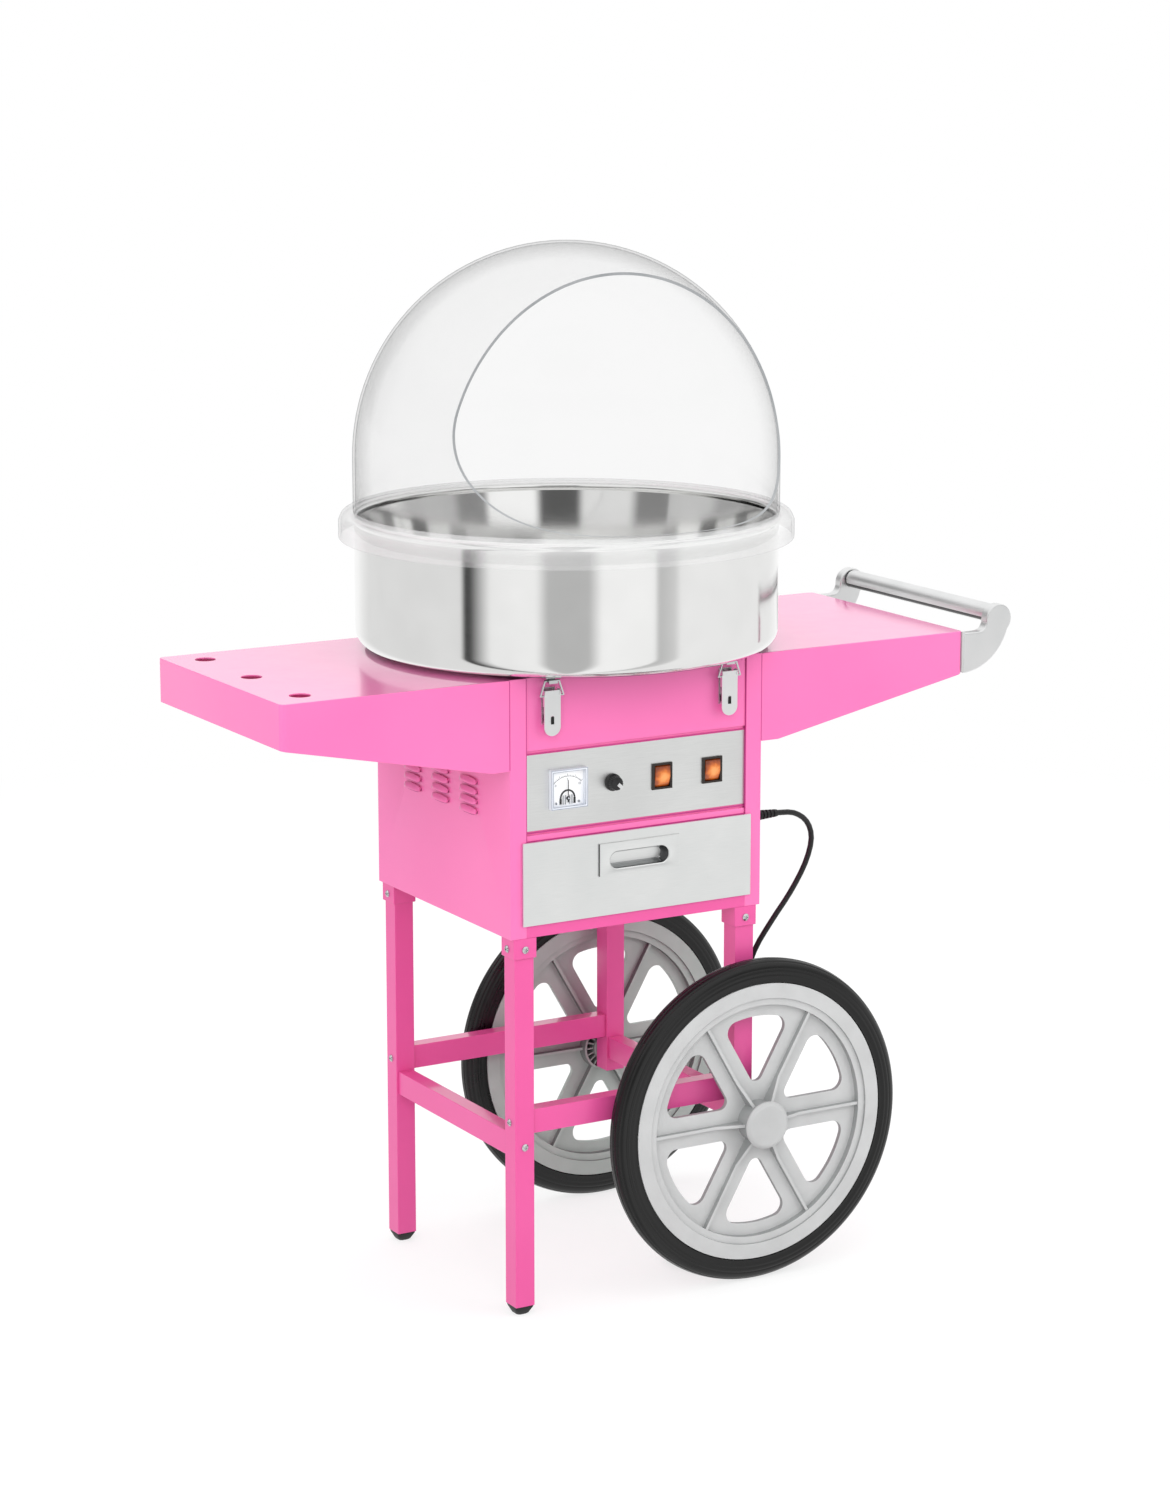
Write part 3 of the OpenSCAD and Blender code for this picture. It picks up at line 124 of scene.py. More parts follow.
def addPiece(name, points, faces, material, body, replaced=(), smooth=True, sharp=35):
    mesh = bpy.data.meshes.new(name)
    mesh.from_pydata(np.asarray(points, float).reshape(-1, 3).tolist(), [], list(map(list, faces)))
    finishMesh(mesh, smooth)
    return placePiece(name, mesh, material, body, replaced, smooth, sharp)


def placePiece(name, mesh, material, body, replaced=(), smooth=True, sharp=35):
    if smooth:
        mesh.set_sharp_from_angle(angle=math.radians(sharp))
    mesh.materials.clear()
    mesh.materials.append(material)
    piece = bpy.data.objects.new(name, mesh)
    scene.collection.objects.link(piece)
    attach(piece, body)
    if replaced:
        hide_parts(*replaced)
    return piece


def filletPath(points, radii, steps=5):
    # a closed outline with each corner rounded to its own radius
    points = np.asarray(points, float)
    radii = np.broadcast_to(radii, len(points))
    out = []
    for i, (p, r) in enumerate(zip(points, radii)):
        a, b = points[i - 1] - p, points[(i + 1) % len(points)] - p
        la, lb = np.linalg.norm(a), np.linalg.norm(b)
        a, b = a / la, b / lb
        turn = math.acos(np.clip(a @ b, -1, 1))
        if r <= 0 or turn > 3.1:
            out.append(p)
            continue
        back = min(r / math.tan(turn / 2), la * 0.49, lb * 0.49)
        r = back * math.tan(turn / 2)
        middle = p + (a + b) / np.linalg.norm(a + b) * r / math.sin(turn / 2)
        start, end = p + a * back - middle, p + b * back - middle
        sweep = math.pi - turn
        t = np.linspace(0, 1, steps + 1)[:, None]
        out.extend(middle + (np.sin((1 - t) * sweep) * start + np.sin(t * sweep) * end) / math.sin(sweep))
    return np.array(out)


def revolve(profile, centre, axis="z", segments=192, side=1):
    # ring of the profile's radius and height at each angle; axis y is used for the wheels
    profile = np.asarray(profile, float) * mm
    turn = np.linspace(0, 2 * math.pi, segments, endpoint=False)
    r, h = profile[:, :1], profile[:, 1:2] + 0 * turn
    u, v = r * np.cos(turn), r * np.sin(turn)
    place = {"z": (u, v, h), "y": (u, side * h, v), "x": (h, u, v)}[axis]
    return np.stack(place, -1) + np.asarray(centre, float)


def turned(name, profile, centre, material, body, replaced=(), axis="z", segments=192, side=1, sharp=35):
    # closed profile of radius and height in mm, turned once round its axis
    grid = revolve(profile, centre, axis, segments, side)
    faces = gridFaces(*grid.shape[:2], True, True)
    return addPiece(name, grid, faces, material, body, replaced, sharp=sharp)


def softEdged(name, node, material, width, body="cart", segments=2, limit=30, merge=True, fold=0):
    # copy of a CAD node with its folded or moulded edges rounded to a real radius, and outer folds to a wider one
    mesh = nodes[node].data.copy()
    mesh.name = name
    bm = bmesh.new()
    bm.from_mesh(mesh)
    bmesh.ops.remove_doubles(bm, verts=bm.verts, dist=2e-6)
    if merge:
        bmesh.ops.dissolve_limit(bm, angle_limit=math.radians(0.6), verts=bm.verts, edges=bm.edges)
    bmesh.ops.recalc_face_normals(bm, faces=bm.faces)
    if fold:
        weight = bm.edges.layers.float.new("bevel_weight_edge")
        for edge in bm.edges:
            if len(edge.link_faces) == 2 and edge.calc_face_angle(0) > math.radians(limit):
                span = min(face.calc_area() for face in edge.link_faces) / edge.calc_length()
                edge[weight] = 1.0 if edge.is_convex and span > 3 * mm else 0.0
    bm.to_mesh(mesh)
    bm.free()
    mesh.polygons.foreach_set("use_smooth", np.full(len(mesh.polygons), True))
    for attribute in ("sharp_edge", "custom_normal", "sharp_face"):
        if attribute in mesh.attributes:
            mesh.attributes.remove(mesh.attributes[attribute])
    piece = placePiece(name, mesh, material, body, [node], sharp=limit)
    bevel = piece.modifiers.new("edgeRadius", "BEVEL")
    if fold:
        bevel.width, bevel.segments, bevel.limit_method = fold * mm, 4, "WEIGHT"
        bevel.harden_normals = True
        return piece
    bevel.width, bevel.segments = width * mm, segments
    bevel.limit_method, bevel.angle_limit = "ANGLE", math.radians(limit)
    bevel.harden_normals, bevel.miter_outer = True, "MITER_ARC"
    return piece


def block(size, centre, radius=0.0):
    # box with rounded upright edges, as points and faces for joining
    w, d, h = np.array(size, float) / 2
    ring = filletPath([(-w, -d), (w, -d), (w, d), (-w, d)], radius, 4) if radius else np.array(
        [(-w, -d), (w, -d), (w, d), (-w, d)])
    n = len(ring)
    points = np.concatenate([np.c_[ring, np.full(n, z)] for z in (-h, h)]) + np.asarray(centre)
    sides = [[i, (i + 1) % n, n + (i + 1) % n, n + i] for i in range(n)]
    return points, sides + [list(range(n))[::-1], list(range(n, 2 * n))]


def joined(parts):
    # several meshes' points and faces as one
    points, faces, start = [], [], 0
    for p, f in parts:
        points.append(p)
        faces += [[start + i for i in face] for face in f]
        start += len(p)
    return np.concatenate(points), faces


def addJoined(name, parts, material, body, replaced=(), smooth=True, sharp=35):
    points, faces = joined(parts)
    mesh = bpy.data.meshes.new(name)
    mesh.from_pydata((np.asarray(points) * 1.0).tolist(), [], faces)
    finishMesh(mesh, smooth, weld=1e-7)
    return placePiece(name, mesh, material, body, replaced, smooth, sharp)


# materials: one function turns sRGB hex values to linear, one adds a node

def hexColour(code, alpha=1.0):
    parts = [int(code[i:i + 2], 16) / 255 for i in (1, 3, 5)]
    return (*[c / 12.92 if c <= 0.04045 else ((c + 0.055) / 1.055) ** 2.4 for c in parts], alpha)


def addNode(tree, kind, inputs=None, **settings):
    node = tree.nodes.new(kind)
    for key, value in settings.items():
        setattr(node, key, value)
    for key, value in (inputs or {}).items():
        if isinstance(value, bpy.types.NodeSocket):
            tree.links.new(value, node.inputs[key])
        else:
            node.inputs[key].default_value = value
    return node


def ramp(tree, value, stops):
    node = addNode(tree, "ShaderNodeValToRGB", {"Fac": value})
    points = node.color_ramp.elements
    while len(points) < len(stops):
        points.new(0.5)
    for point, (at, colour) in zip(points, stops):
        point.position, point.color = at, hexColour(colour) if isinstance(colour, str) else (colour,) * 3 + (1,)
    return node.outputs["Color"]


def startMaterial(name):
    material = bpy.data.materials.new(name)
    material.use_nodes = True
    tree = material.node_tree
    tree.nodes.clear()
    out = addNode(tree, "ShaderNodeOutputMaterial")
    place = addNode(tree, "ShaderNodeTexCoord").outputs["Object"]
    return material, tree, out, place


def mapped(tree, place, stretch):
    return addNode(tree, "ShaderNodeMapping", {"Vector": place, "Scale": stretch}).outputs["Vector"]


def noise(tree, place, size, detail=3.0, rough=0.5):
    # size is the pattern's real spacing in mm
    return addNode(tree, "ShaderNodeTexNoise",
                   {"Vector": place, "Scale": 1 / (size * mm), "Detail": detail, "Roughness": rough}).outputs["Fac"]


def bump(tree, height, depth, distance=0.1, normal=None):
    inputs = {"Height": height, "Strength": depth, "Distance": distance * mm}
    if normal is not None:
        inputs["Normal"] = normal
    return addNode(tree, "ShaderNodeBump", inputs).outputs["Normal"]


def shade(tree, out, **inputs):
    shader = addNode(tree, "ShaderNodeBsdfPrincipled", inputs)
    tree.links.new(shader.outputs["BSDF"], out.inputs["Surface"])
    return shader


pinkSettings = {"dark": "#f170b1", "light": "#f376b5", "peelSize": 1.6, "peelDepth": 0.1, "roughness": 0.3}
shadedFrameSettings = {"dark": "#e3539a", "light": "#e6599f", "peelSize": 1.6, "peelDepth": 0.1, "roughness": 0.3}


def glossPinkEnamel(name, s):
    # stoved gloss enamel on sheet steel: an even colour, a soft orange peel and a clear bright sheen
    material, tree, out, place = startMaterial(name)
    cloud = noise(tree, place, 180, 2)
    peel = noise(tree, place, s["peelSize"], 1)
    rub = noise(tree, place, 35, 4, 0.6)
    # the lacquer's own gloss, which grows as the sheet is seen at a lower angle
    low = addNode(tree, "ShaderNodeLayerWeight", {"Blend": 0.5}).outputs["Facing"]
    gloss = addNode(tree, "ShaderNodeMapRange", {"Value": low, "From Min": 0.5, "From Max": 0.78, "To Min": 0.08,
                                                 "To Max": 1.0}).outputs["Result"]
    shade(tree, out, **{
        "Base Color": ramp(tree, cloud, [(0.3, s["dark"]), (0.7, s["light"])]),
        "Roughness": addNode(tree, "ShaderNodeMapRange", {"Value": rub, "To Min": s["roughness"] - 0.04,
                                                          "To Max": s["roughness"] + 0.06}).outputs["Result"],
        "IOR": 1.5, "Coat Weight": gloss, "Coat IOR": 1.6, "Coat Roughness": 0.08,
        "Normal": bump(tree, peel, s["peelDepth"], 0.05)})
    return material


def brushedSteel(name, stretch, light, dark, roughness, anisotropic=0.0, depth=0.25, spacing=0.7):
    # satin stainless sheet: a fine even grain that runs one way and draws lights out across it
    material, tree, out, place = startMaterial(name)
    grain = noise(tree, mapped(tree, place, stretch), spacing, 4, 0.7)
    cloud = noise(tree, place, 90, 2)
    tone = addNode(tree, "ShaderNodeMath", {0: grain, 1: cloud}, operation="MULTIPLY").outputs[0]
    shade(tree, out, **{
        "Base Color": ramp(tree, tone, [(0.12, dark), (0.4, light)]),
        "Metallic": 1.0, "Anisotropic": anisotropic,
        "Roughness": addNode(tree, "ShaderNodeMapRange", {"Value": grain, "To Min": roughness - 0.06,
                                                          "To Max": roughness + 0.08}).outputs["Result"],
        "Normal": bump(tree, grain, depth, 0.02)})
    return material


def spunSteel(name, centre, light, dark, roughness):
    # polished stainless spun on a lathe: fine rings round the axis
    material, tree, out, place = startMaterial(name)
    local = addNode(tree, "ShaderNodeMapping", {"Vector": place, "Location": (-centre[0], -centre[1], 0)})
    split = addNode(tree, "ShaderNodeSeparateXYZ", {0: local.outputs["Vector"]})
    radius = addNode(tree, "ShaderNodeVectorMath", {0: addNode(tree, "ShaderNodeCombineXYZ", {
        "X": split.outputs["X"], "Y": split.outputs["Y"]}).outputs[0]}, operation="LENGTH").outputs["Value"]
    angle = addNode(tree, "ShaderNodeMath", {0: split.outputs["Y"], 1: split.outputs["X"]},
                    operation="ARCTAN2").outputs[0]
    around = addNode(tree, "ShaderNodeMath", {0: angle, 1: 0.006}, operation="MULTIPLY").outputs[0]
    ringed = addNode(tree, "ShaderNodeCombineXYZ", {"X": around, "Y": radius, "Z": split.outputs["Z"]}).outputs[0]
    rings = noise(tree, ringed, 0.9, 5, 0.75)
    broad = noise(tree, place, 70, 2)
    shade(tree, out, **{
        "Base Color": ramp(tree, broad, [(0.3, dark), (0.7, light)]),
        "Metallic": 1.0, "Anisotropic": 0.6, "Anisotropic Rotation": 0.25,
        "Tangent": addNode(tree, "ShaderNodeTangent", direction_type="RADIAL", axis="Z").outputs["Tangent"],
        "Roughness": addNode(tree, "ShaderNodeMapRange", {"Value": rings, "To Min": roughness - 0.05,
                                                          "To Max": roughness + 0.07}).outputs["Result"],
        "Normal": bump(tree, rings, 0.04, 0.02)})
    return material


def platedMetal(name, light, dark, roughness, smear=40.0):
    # bright plated or polished metal: clear reflections, broken only by faint wiping marks
    material, tree, out, place = startMaterial(name)
    marks = noise(tree, place, smear, 2, 0.5)
    fine = noise(tree, place, 0.6, 2)
    shade(tree, out, **{
        "Base Color": ramp(tree, marks, [(0.3, dark), (0.7, light)]),
        "Metallic": 1.0,
        "Roughness": addNode(tree, "ShaderNodeMapRange", {"Value": marks, "To Min": roughness,
                                                          "To Max": roughness + 0.04}).outputs["Result"],
        "Normal": bump(tree, fine, 0.03, 0.01)})
    return material


def mouldedPlastic(name, light, dark, roughness, grain=0.5, depth=0.15, coat=0.0, cloudSize=40):
    # injection moulded plastic: an even colour, a fine spark-eroded grain and a soft sheen
    material, tree, out, place = startMaterial(name)
    cloud = noise(tree, place, cloudSize, 3)
    texture = noise(tree, place, grain, 2)
    shade(tree, out, **{
        "Base Color": ramp(tree, cloud, [(0.3, dark), (0.7, light)]),
        "Roughness": addNode(tree, "ShaderNodeMapRange", {"Value": cloud, "To Min": roughness - 0.03,
                                                          "To Max": roughness + 0.05}).outputs["Result"],
        "IOR": 1.49, "Coat Weight": coat, "Coat Roughness": 0.1,
        "Normal": bump(tree, texture, depth, 0.05)})
    return material


def clearSheet(name, tint, milk, roughness=0.03, gloss=0.5, rise=None):
    # blown acrylic or polycarbonate as a thin wall: its tint, its milkiness and its gloss at low angles
    material, tree, out, place = startMaterial(name)
    cloud = noise(tree, place, 60, 2)
    low = addNode(tree, "ShaderNodeLayerWeight", {"Blend": 0.5}).outputs["Facing"]
    # the tint darkens towards low angles: partly the longer path through the wall, partly painted shade for the dark
    # edges a clear shell shows
    clear = ramp(tree, low, [(0.0, tint[0]), (0.6, tint[0]), (0.9, tint[1]), (1.0, tint[2])])
    through = addNode(tree, "ShaderNodeBsdfTransparent", {"Color": clear}).outputs[0]
    body = addNode(tree, "ShaderNodeBsdfPrincipled", {
        "Base Color": ramp(tree, cloud, [(0.3, "#f3f4f4"), (0.7, "#fafafa")]), "Roughness": 0.25, "IOR": 1.49})
    haze = addNode(tree, "ShaderNodeMapRange", {"Value": cloud, "To Min": milk * 0.9, "To Max": milk * 1.1}).outputs[0]
    if rise:
        # milkier towards the rolled lip, where the sheet is thick
        height = addNode(tree, "ShaderNodeSeparateXYZ", {0: place}).outputs["Z"]
        lip = addNode(tree, "ShaderNodeMapRange", {"Value": height, "From Min": rise[0], "From Max": rise[1], "To Min": 0.0,
                                                   "To Max": rise[2]}).outputs[0]
        haze = addNode(tree, "ShaderNodeMath", {0: haze, 1: lip}, operation="ADD", use_clamp=True).outputs[0]
    milky = addNode(tree, "ShaderNodeMixShader", {0: haze, 1: through, 2: body.outputs["BSDF"]}).outputs[0]
    shine = addNode(tree, "ShaderNodeBsdfGlossy", {"Roughness": roughness}).outputs[0]
    edge = addNode(tree, "ShaderNodeMath", {0: low, 1: 5.0}, operation="POWER").outputs[0]
    amount = addNode(tree, "ShaderNodeMath", {0: edge, 1: gloss, 2: 0.02 * gloss}, operation="MULTIPLY_ADD").outputs[0]
    mixed = addNode(tree, "ShaderNodeMixShader", {0: amount, 1: milky, 2: shine}).outputs[0]
    tree.links.new(mixed, out.inputs["Surface"])
    return material


def litLens(name, node, core, rim, strength):
    # orange rocker moulding with a neon lamp behind it: brightest round its lower middle
    material, tree, out, place = startMaterial(name)
    middle = nodeCentre(node)
    lamp = addNode(tree, "ShaderNodeVectorMath", {0: place, 1: (middle.x + 0.002, middle.y - 0.006, middle.z - 0.002)},
                   operation="DISTANCE").outputs["Value"]
    patchy = noise(tree, place, 5, 2, 0.5)
    glow = addNode(tree, "ShaderNodeMapRange", {"Value": lamp, "From Min": 0.002, "From Max": 0.0155, "To Min": 1.0,
                                                "To Max": 0.0}).outputs["Result"]
    glow = addNode(tree, "ShaderNodeMath", {0: patchy, 1: 0.5, 2: glow}, operation="MULTIPLY_ADD").outputs[0]
    glow = addNode(tree, "ShaderNodeMath", {0: glow, 1: 0.25}, operation="SUBTRACT").outputs[0]
    shade(tree, out, **{
        "Base Color": ramp(tree, glow, [(0.1, rim), (0.8, core)]),
        "Roughness": 0.22, "IOR": 1.5, "Coat Weight": 0.4, "Coat Roughness": 0.06,
        "Emission Color": ramp(tree, glow, [(0.0, "#3a1403"), (0.35, "#a8480f"), (0.6, "#f08a35"), (0.95, "#ffd486")]),
        "Emission Strength": strength,
        "Normal": bump(tree, noise(tree, place, 0.8, 1), 0.08, 0.05)})
    return material


pink = glossPinkEnamel("glossPinkEnamel", pinkSettings)
# the legs, rails, leg sockets and base panel get a darker copy of the same enamel, painted shade
shadedTubePink = glossPinkEnamel("pinkEnamelPaintedShade", shadedFrameSettings)
plateSteel = brushedSteel("brushedPanelSteel", (0.03, 1, 1), "#f2f3f2", "#e7e8e7", 0.38, 0.4, 0.12)
drawerSteel = brushedSteel("brushedDrawerSteel", (0.03, 1, 1), "#f9faf9", "#eff1f0", 0.34, 0.4, 0.12)
bowlSteel = spunSteel("spunBowlSteel", (cartX, 0), "#f2f2f1", "#ececeb", 0.1)
# dark grey painted shade for the bowl's underside
bowlUndersideShade = platedMetal("bowlUndersidePaintedShade", "#77787a", "#67686a", 0.45)
headAluminium = spunSteel("turnedHeadAluminium", (cartX, 0), "#d3d4d5", "#bcbdbe", 0.28)
bandSteel = platedMetal("heaterBandSteel", "#b9b4ad", "#9a948c", 0.25)
chrome = platedMetal("polishedChrome", "#f0f1f1", "#e6e7e8", 0.1)
castSatin = platedMetal("satinCastMetal", "#f2f2f2", "#e9eaea", 0.36, 60)
zinc = platedMetal("brightZinc", "#e2e3e4", "#d2d4d6", 0.2)
leverZinc = platedMetal("burnishedZinc", "#fbfbfb", "#f1f2f2", 0.5, 60)
# dark and mid grey painted shade for the drawer pull's pocket
pocketShade = platedMetal("pocketReturnPaintedShade", "#6b6c6d", "#5a5b5c", 0.4)
pocketFoldShade = platedMetal("pocketFoldPaintedShade", "#b4b5b6", "#a6a8a9", 0.4)
# darker enamel painted as shade in the sheet joints and under the louvre lips
seamShade = mouldedPlastic("enamelPaintedSeamShade", "#c43a86", "#b8327a", 0.4, 0.8, 0.05)
motorPaint = mouldedPlastic("paintedMotorIron", "#3a3b3d", "#2c2d2f", 0.45, 1.2, 0.3)
wheelPlastic = mouldedPlastic("greyPolypropylene", "#c3c4c4", "#babbbb", 0.38, 0.6, 0.12)
# painted shade for the wheels' inner faces and walls; the rear one is tinted green against the pink light bounced onto
# it
wheelShade = {"front": mouldedPlastic("greyPolypropylenePaintedShade", "#9fa1a1", "#949696", 0.5, 0.8, 0.2),
              "rear": mouldedPlastic("greyPolypropyleneRearPaintedShade", "#b3bdb8", "#a8b2ad", 0.5, 0.8, 0.2)}
wheelDeepShade = mouldedPlastic("greyPolypropyleneWallPaintedShade", "#7d8280", "#737876", 0.5, 0.8, 0.2)
capPlastic = mouldedPlastic("greyCapPlastic", "#bdbebe", "#b5b6b6", 0.36, 0.6, 0.1)
blackAbs = mouldedPlastic("blackAbs", "#1d1d1e", "#151516", 0.32, 0.5, 0.12)
bezelAbs = mouldedPlastic("bezelAbs", "#2a211c", "#1c1614", 0.35, 0.5, 0.12)
tyreRubber = mouldedPlastic("tyreRubber", "#060606", "#030303", 0.27, 0.8, 0.06, cloudSize=25)
footRubber = mouldedPlastic("footRubber", "#131313", "#0d0d0d", 0.5, 0.7, 0.3)
cordPvc = mouldedPlastic("cordPvc", "#151516", "#101011", 0.4, 0.9, 0.1)
meterWhite = mouldedPlastic("meterWhite", "#ffffff", "#f8faff", 0.25, 0.8, 0.03)
meterFrame = mouldedPlastic("meterCasePlastic", "#e9ecf2", "#e0e4ec", 0.25, 0.8, 0.03)
meterRim = mouldedPlastic("meterRimPaintedShade", "#a9b0bd", "#989fad", 0.3, 0.8, 0.03)
dialInk = mouldedPlastic("dialInk", "#55585c", "#47494d", 0.5, 0.6, 0.02)
darkInk = mouldedPlastic("darkInk", "#232426", "#1b1c1e", 0.5, 0.6, 0.02)
greyPart = mouldedPlastic("meterGrey", "#a7aaae", "#96999e", 0.35, 0.6, 0.05)
orangeLens = {node: litLens(node.split("_")[0] + "OrangeLens", node, "#b85e1c", "#6a2c0c", 0.42)
              for node in ("heat_rocker", "motor_rocker")}
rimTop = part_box("dome_ring")[1].z
domeClear = clearSheet("domeAcrylic", ("#fcfcfc", "#f1f1f1", "#a9aaab"), 0.01, 0.03, 0.4)
domeCut = mouldedPlastic("domeCutEdge", "#9b9d9f", "#8d9092", 0.4, 0.8, 0.05)
ringMilk = clearSheet("flangePolycarbonate", ("#fdfdfd", "#f6f6f6", "#c9cacb"), 0.1, 0.06, 0.5,
                      (rimTop - 0.02, rimTop - 0.008, 0.12))
windowClear = clearSheet("windowAcrylic", ("#ffffff", "#ffffff", "#e6e8ea"), 0.0)
print("materials made")


# mains lead: same points as the source's route, then the coil on the ground and the tail to the plug
mainsLead = {
    "radius": 3.5,
    "route": [(180.3, -140, 577), (205, -139, 574), (227, -135, 560), (238, -130, 536), (232, -126, 504),
              (212, -123, 468), (186, -121, 434), (162, -119, 398), (148, -118, 355), (142, -118, 300),
              (141, -118, 245), (141, -118, 190), (142, -112, 136), (134, -92, 84), (127, -76, 48),
              (119, -70, 29), (109, -68, 16)],
    "coilCentre": (98, -108),
    "slots": [(0, 40, 10.6), (300, 40, 10.6), (350, 33, 10.6), (600, 33, 10.6), (650, 33, 3.6), (900, 33, 3.6),
              (950, 40, 3.6), (1200, 40, 3.6), (1250, 47, 3.6), (1500, 47, 3.6), (1550, 47, 10.6), (1620, 47, 10.6)],
    "tail": [(116, -154, 10.5), (128, -153, 11.6), (140, -149.6, 14.6), (151, -146.6, 16.7), (159.9, -146, 17)],
    "sides": 16,
    "length": 1.85,
}


def smoothPath(points, steps):
    # cubic through every point, its slope at each one half the way between the neighbours
    p = np.asarray(points, float)
    before = np.concatenate([p[:1], p[:-1]])
    after = np.concatenate([p[1:], p[-1:]])
    beyond = np.concatenate([p[2:], p[-1:], p[-1:]])
    t = (np.arange(steps) / steps)[None, :, None]
    a, b, c, d = (q[:-1, None, :] for q in (before, p, after, beyond))
    curve = 0.5 * (2 * b + (c - a) * t + (2 * a - 5 * b + 4 * c - d) * t ** 2 + (3 * b - a - 3 * c + d) * t ** 3)
    return np.concatenate([curve.reshape(-1, 3), p[-1:]])


def leadPath(s):
    turn, radius, height = np.array(s["slots"], float).T
    t = np.arange(4, 1620, 8.0)
    ease = lambda v: np.interp(t, turn, v)
    angle = np.radians(90 + t)
    coil = np.stack([s["coilCentre"][0] + ease(radius) * np.cos(angle),
                     s["coilCentre"][1] + ease(radius) * np.sin(angle), ease(height)], -1)
    anchor = np.concatenate([np.array(s["route"], float), coil[1:], np.array(s["tail"], float)])
    return smoothPath(anchor, 3) * mm


def sweepTube(path, radius, sides):
    # circle of the radius across each point of the path, its turn carried on without twist
    along = np.gradient(path, axis=0)
    along /= np.linalg.norm(along, axis=1)[:, None]
    side = np.cross(along[0], (0, 1, 0.1))
    sidesOut = np.empty_like(path)
    for i, direction in enumerate(along):
        side = side - (side @ direction) * direction
        side /= np.linalg.norm(side)
        sidesOut[i] = side
    other = np.cross(along, sidesOut)
    turn = np.linspace(0, 2 * math.pi, sides, endpoint=False)[None, :, None]
    grid = path[:, None] + radius * (np.cos(turn) * sidesOut[:, None] + np.sin(turn) * other[:, None])
    faces = gridFaces(len(path), sides, False, True).tolist()
    last = (len(path) - 1) * sides
    return grid.reshape(-1, 3), faces + [list(range(sides))[::-1], list(range(last, last + sides))]


path = leadPath(mainsLead)
leadLength = float(np.linalg.norm(np.diff(path, axis=0), axis=1).sum())
points, faces = sweepTube(path, mainsLead["radius"] * mm, mainsLead["sides"])
lead = addJoined("mainsLead", [(points, faces)], cordPvc, "cart", ["mains_cord", "cord_coil"])
print("lead length", round(leadLength, 4))

reliefCentre = (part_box("strain_relief")[1].x, -0.140, 0.577)
relief = {"rings": 7, "root": 7.0, "tip": 4.6, "length": 45}


def reliefProfile(s):
    # tapered sleeve with grooves between raised ribs, from the flange to the cord
    rows = [(0.5, -s["length"] - 5.4), (9.6, -s["length"] - 5.4), (10, -s["length"] - 5), (10, -s["length"] - 1.6),
            (7, -s["length"] - 1.5), (7, -s["length"] + 0.01), (9.4, -s["length"] + 0.02),
            (9.5, -s["length"] + 2.2), (8.8, -s["length"] + 2.6)]
    for i in range(s["rings"]):
        start = -s["length"] + 5 + i * (s["length"] - 8) / s["rings"]
        r = np.interp(i, [0, s["rings"]], [s["root"], s["tip"]])
        rows += [(r - 1.1, start), (r - 1.1, start + 1.6), (r, start + 2.0), (r - 0.15, start + 4.7)]
    return rows + [(s["tip"] - 0.3, -1), (s["tip"] - 0.8, 0), (0.5, 0)]


turned("strainReliefSleeve", reliefProfile(relief), reliefCentre, footRubber, "cart",
       ["strain_relief"], axis="x", segments=48)

plugShape = {"body": 17.0, "length": 28, "pin": 2.4, "pinLength": 19, "pinSpread": 19, "start": (0.160, -0.146, 0.017)}


def makePlug(s):
    # round two-pin plug: ribbed neck, waisted grip and a flat face with its two pins
    b = s["body"]
    profile = filletPath([(0.4, 0), (5.2, 0), (5.6, 3), (4.8, 3.6), (4.8, 4.6), (6.4, 5), (6.8, 8), (b * 0.78, 11),
                          (b * 0.84, 17), (b * 0.93, 24), (b, 29), (b, 35.6), (b - 1.6, 36), (0.4, 36)], 0.8, 3)
    body = revolve(profile, s["start"], "x", 64)
    parts = [(body.reshape(-1, 3), gridFaces(*body.shape[:2], True, True).tolist())]
    plug = addJoined("mainsPlugBody", parts, blackAbs, "cart", ["mains_plug"])
    pins = []
    for side in (-1, 1):
        pin = filletPath([(0.05, 34), (s["pin"], 34), (s["pin"], 54), (0.05, 54)], [0, 0, 1.6, 0], 4)
        place = np.array(s["start"]) + (0, side * s["pinSpread"] / 2 * mm, 0)
        grid = revolve(pin, place, "x", 24)
        pins.append((grid.reshape(-1, 3), gridFaces(*grid.shape[:2], True, True).tolist()))
    pinPiece = addJoined("plugPins", pins, chrome, "cart")
    return plug, pinPiece


plug, plugPins = makePlug(plugShape)
print("mains lead laid")


# sheet metal: folded edges have a radius of about 1 mm, which catches the light
sheetEdges = {
    "left_side_panel": 0.7, "right_side_panel": 0.7, "rear_panel": 0.5, "base_panel": 0.6, "deck_panel": 0.5,
    "front_panel": 0.6, "left_shelf": 0.7, "right_shelf": 0.7, "leg_sockets": 0.8, "front_left_leg": 1.4,
    "rear_left_leg": 1.4, "front_right_leg": 1.4, "rear_right_leg": 1.4, "front_rail": 1.4, "rear_rail": 1.4,
    "left_rail": 1.4, "right_rail": 1.4,
}


def pieceName(node):
    first, *rest = node.split("_")
    return first + "".join(word.capitalize() for word in rest) + "Piece"


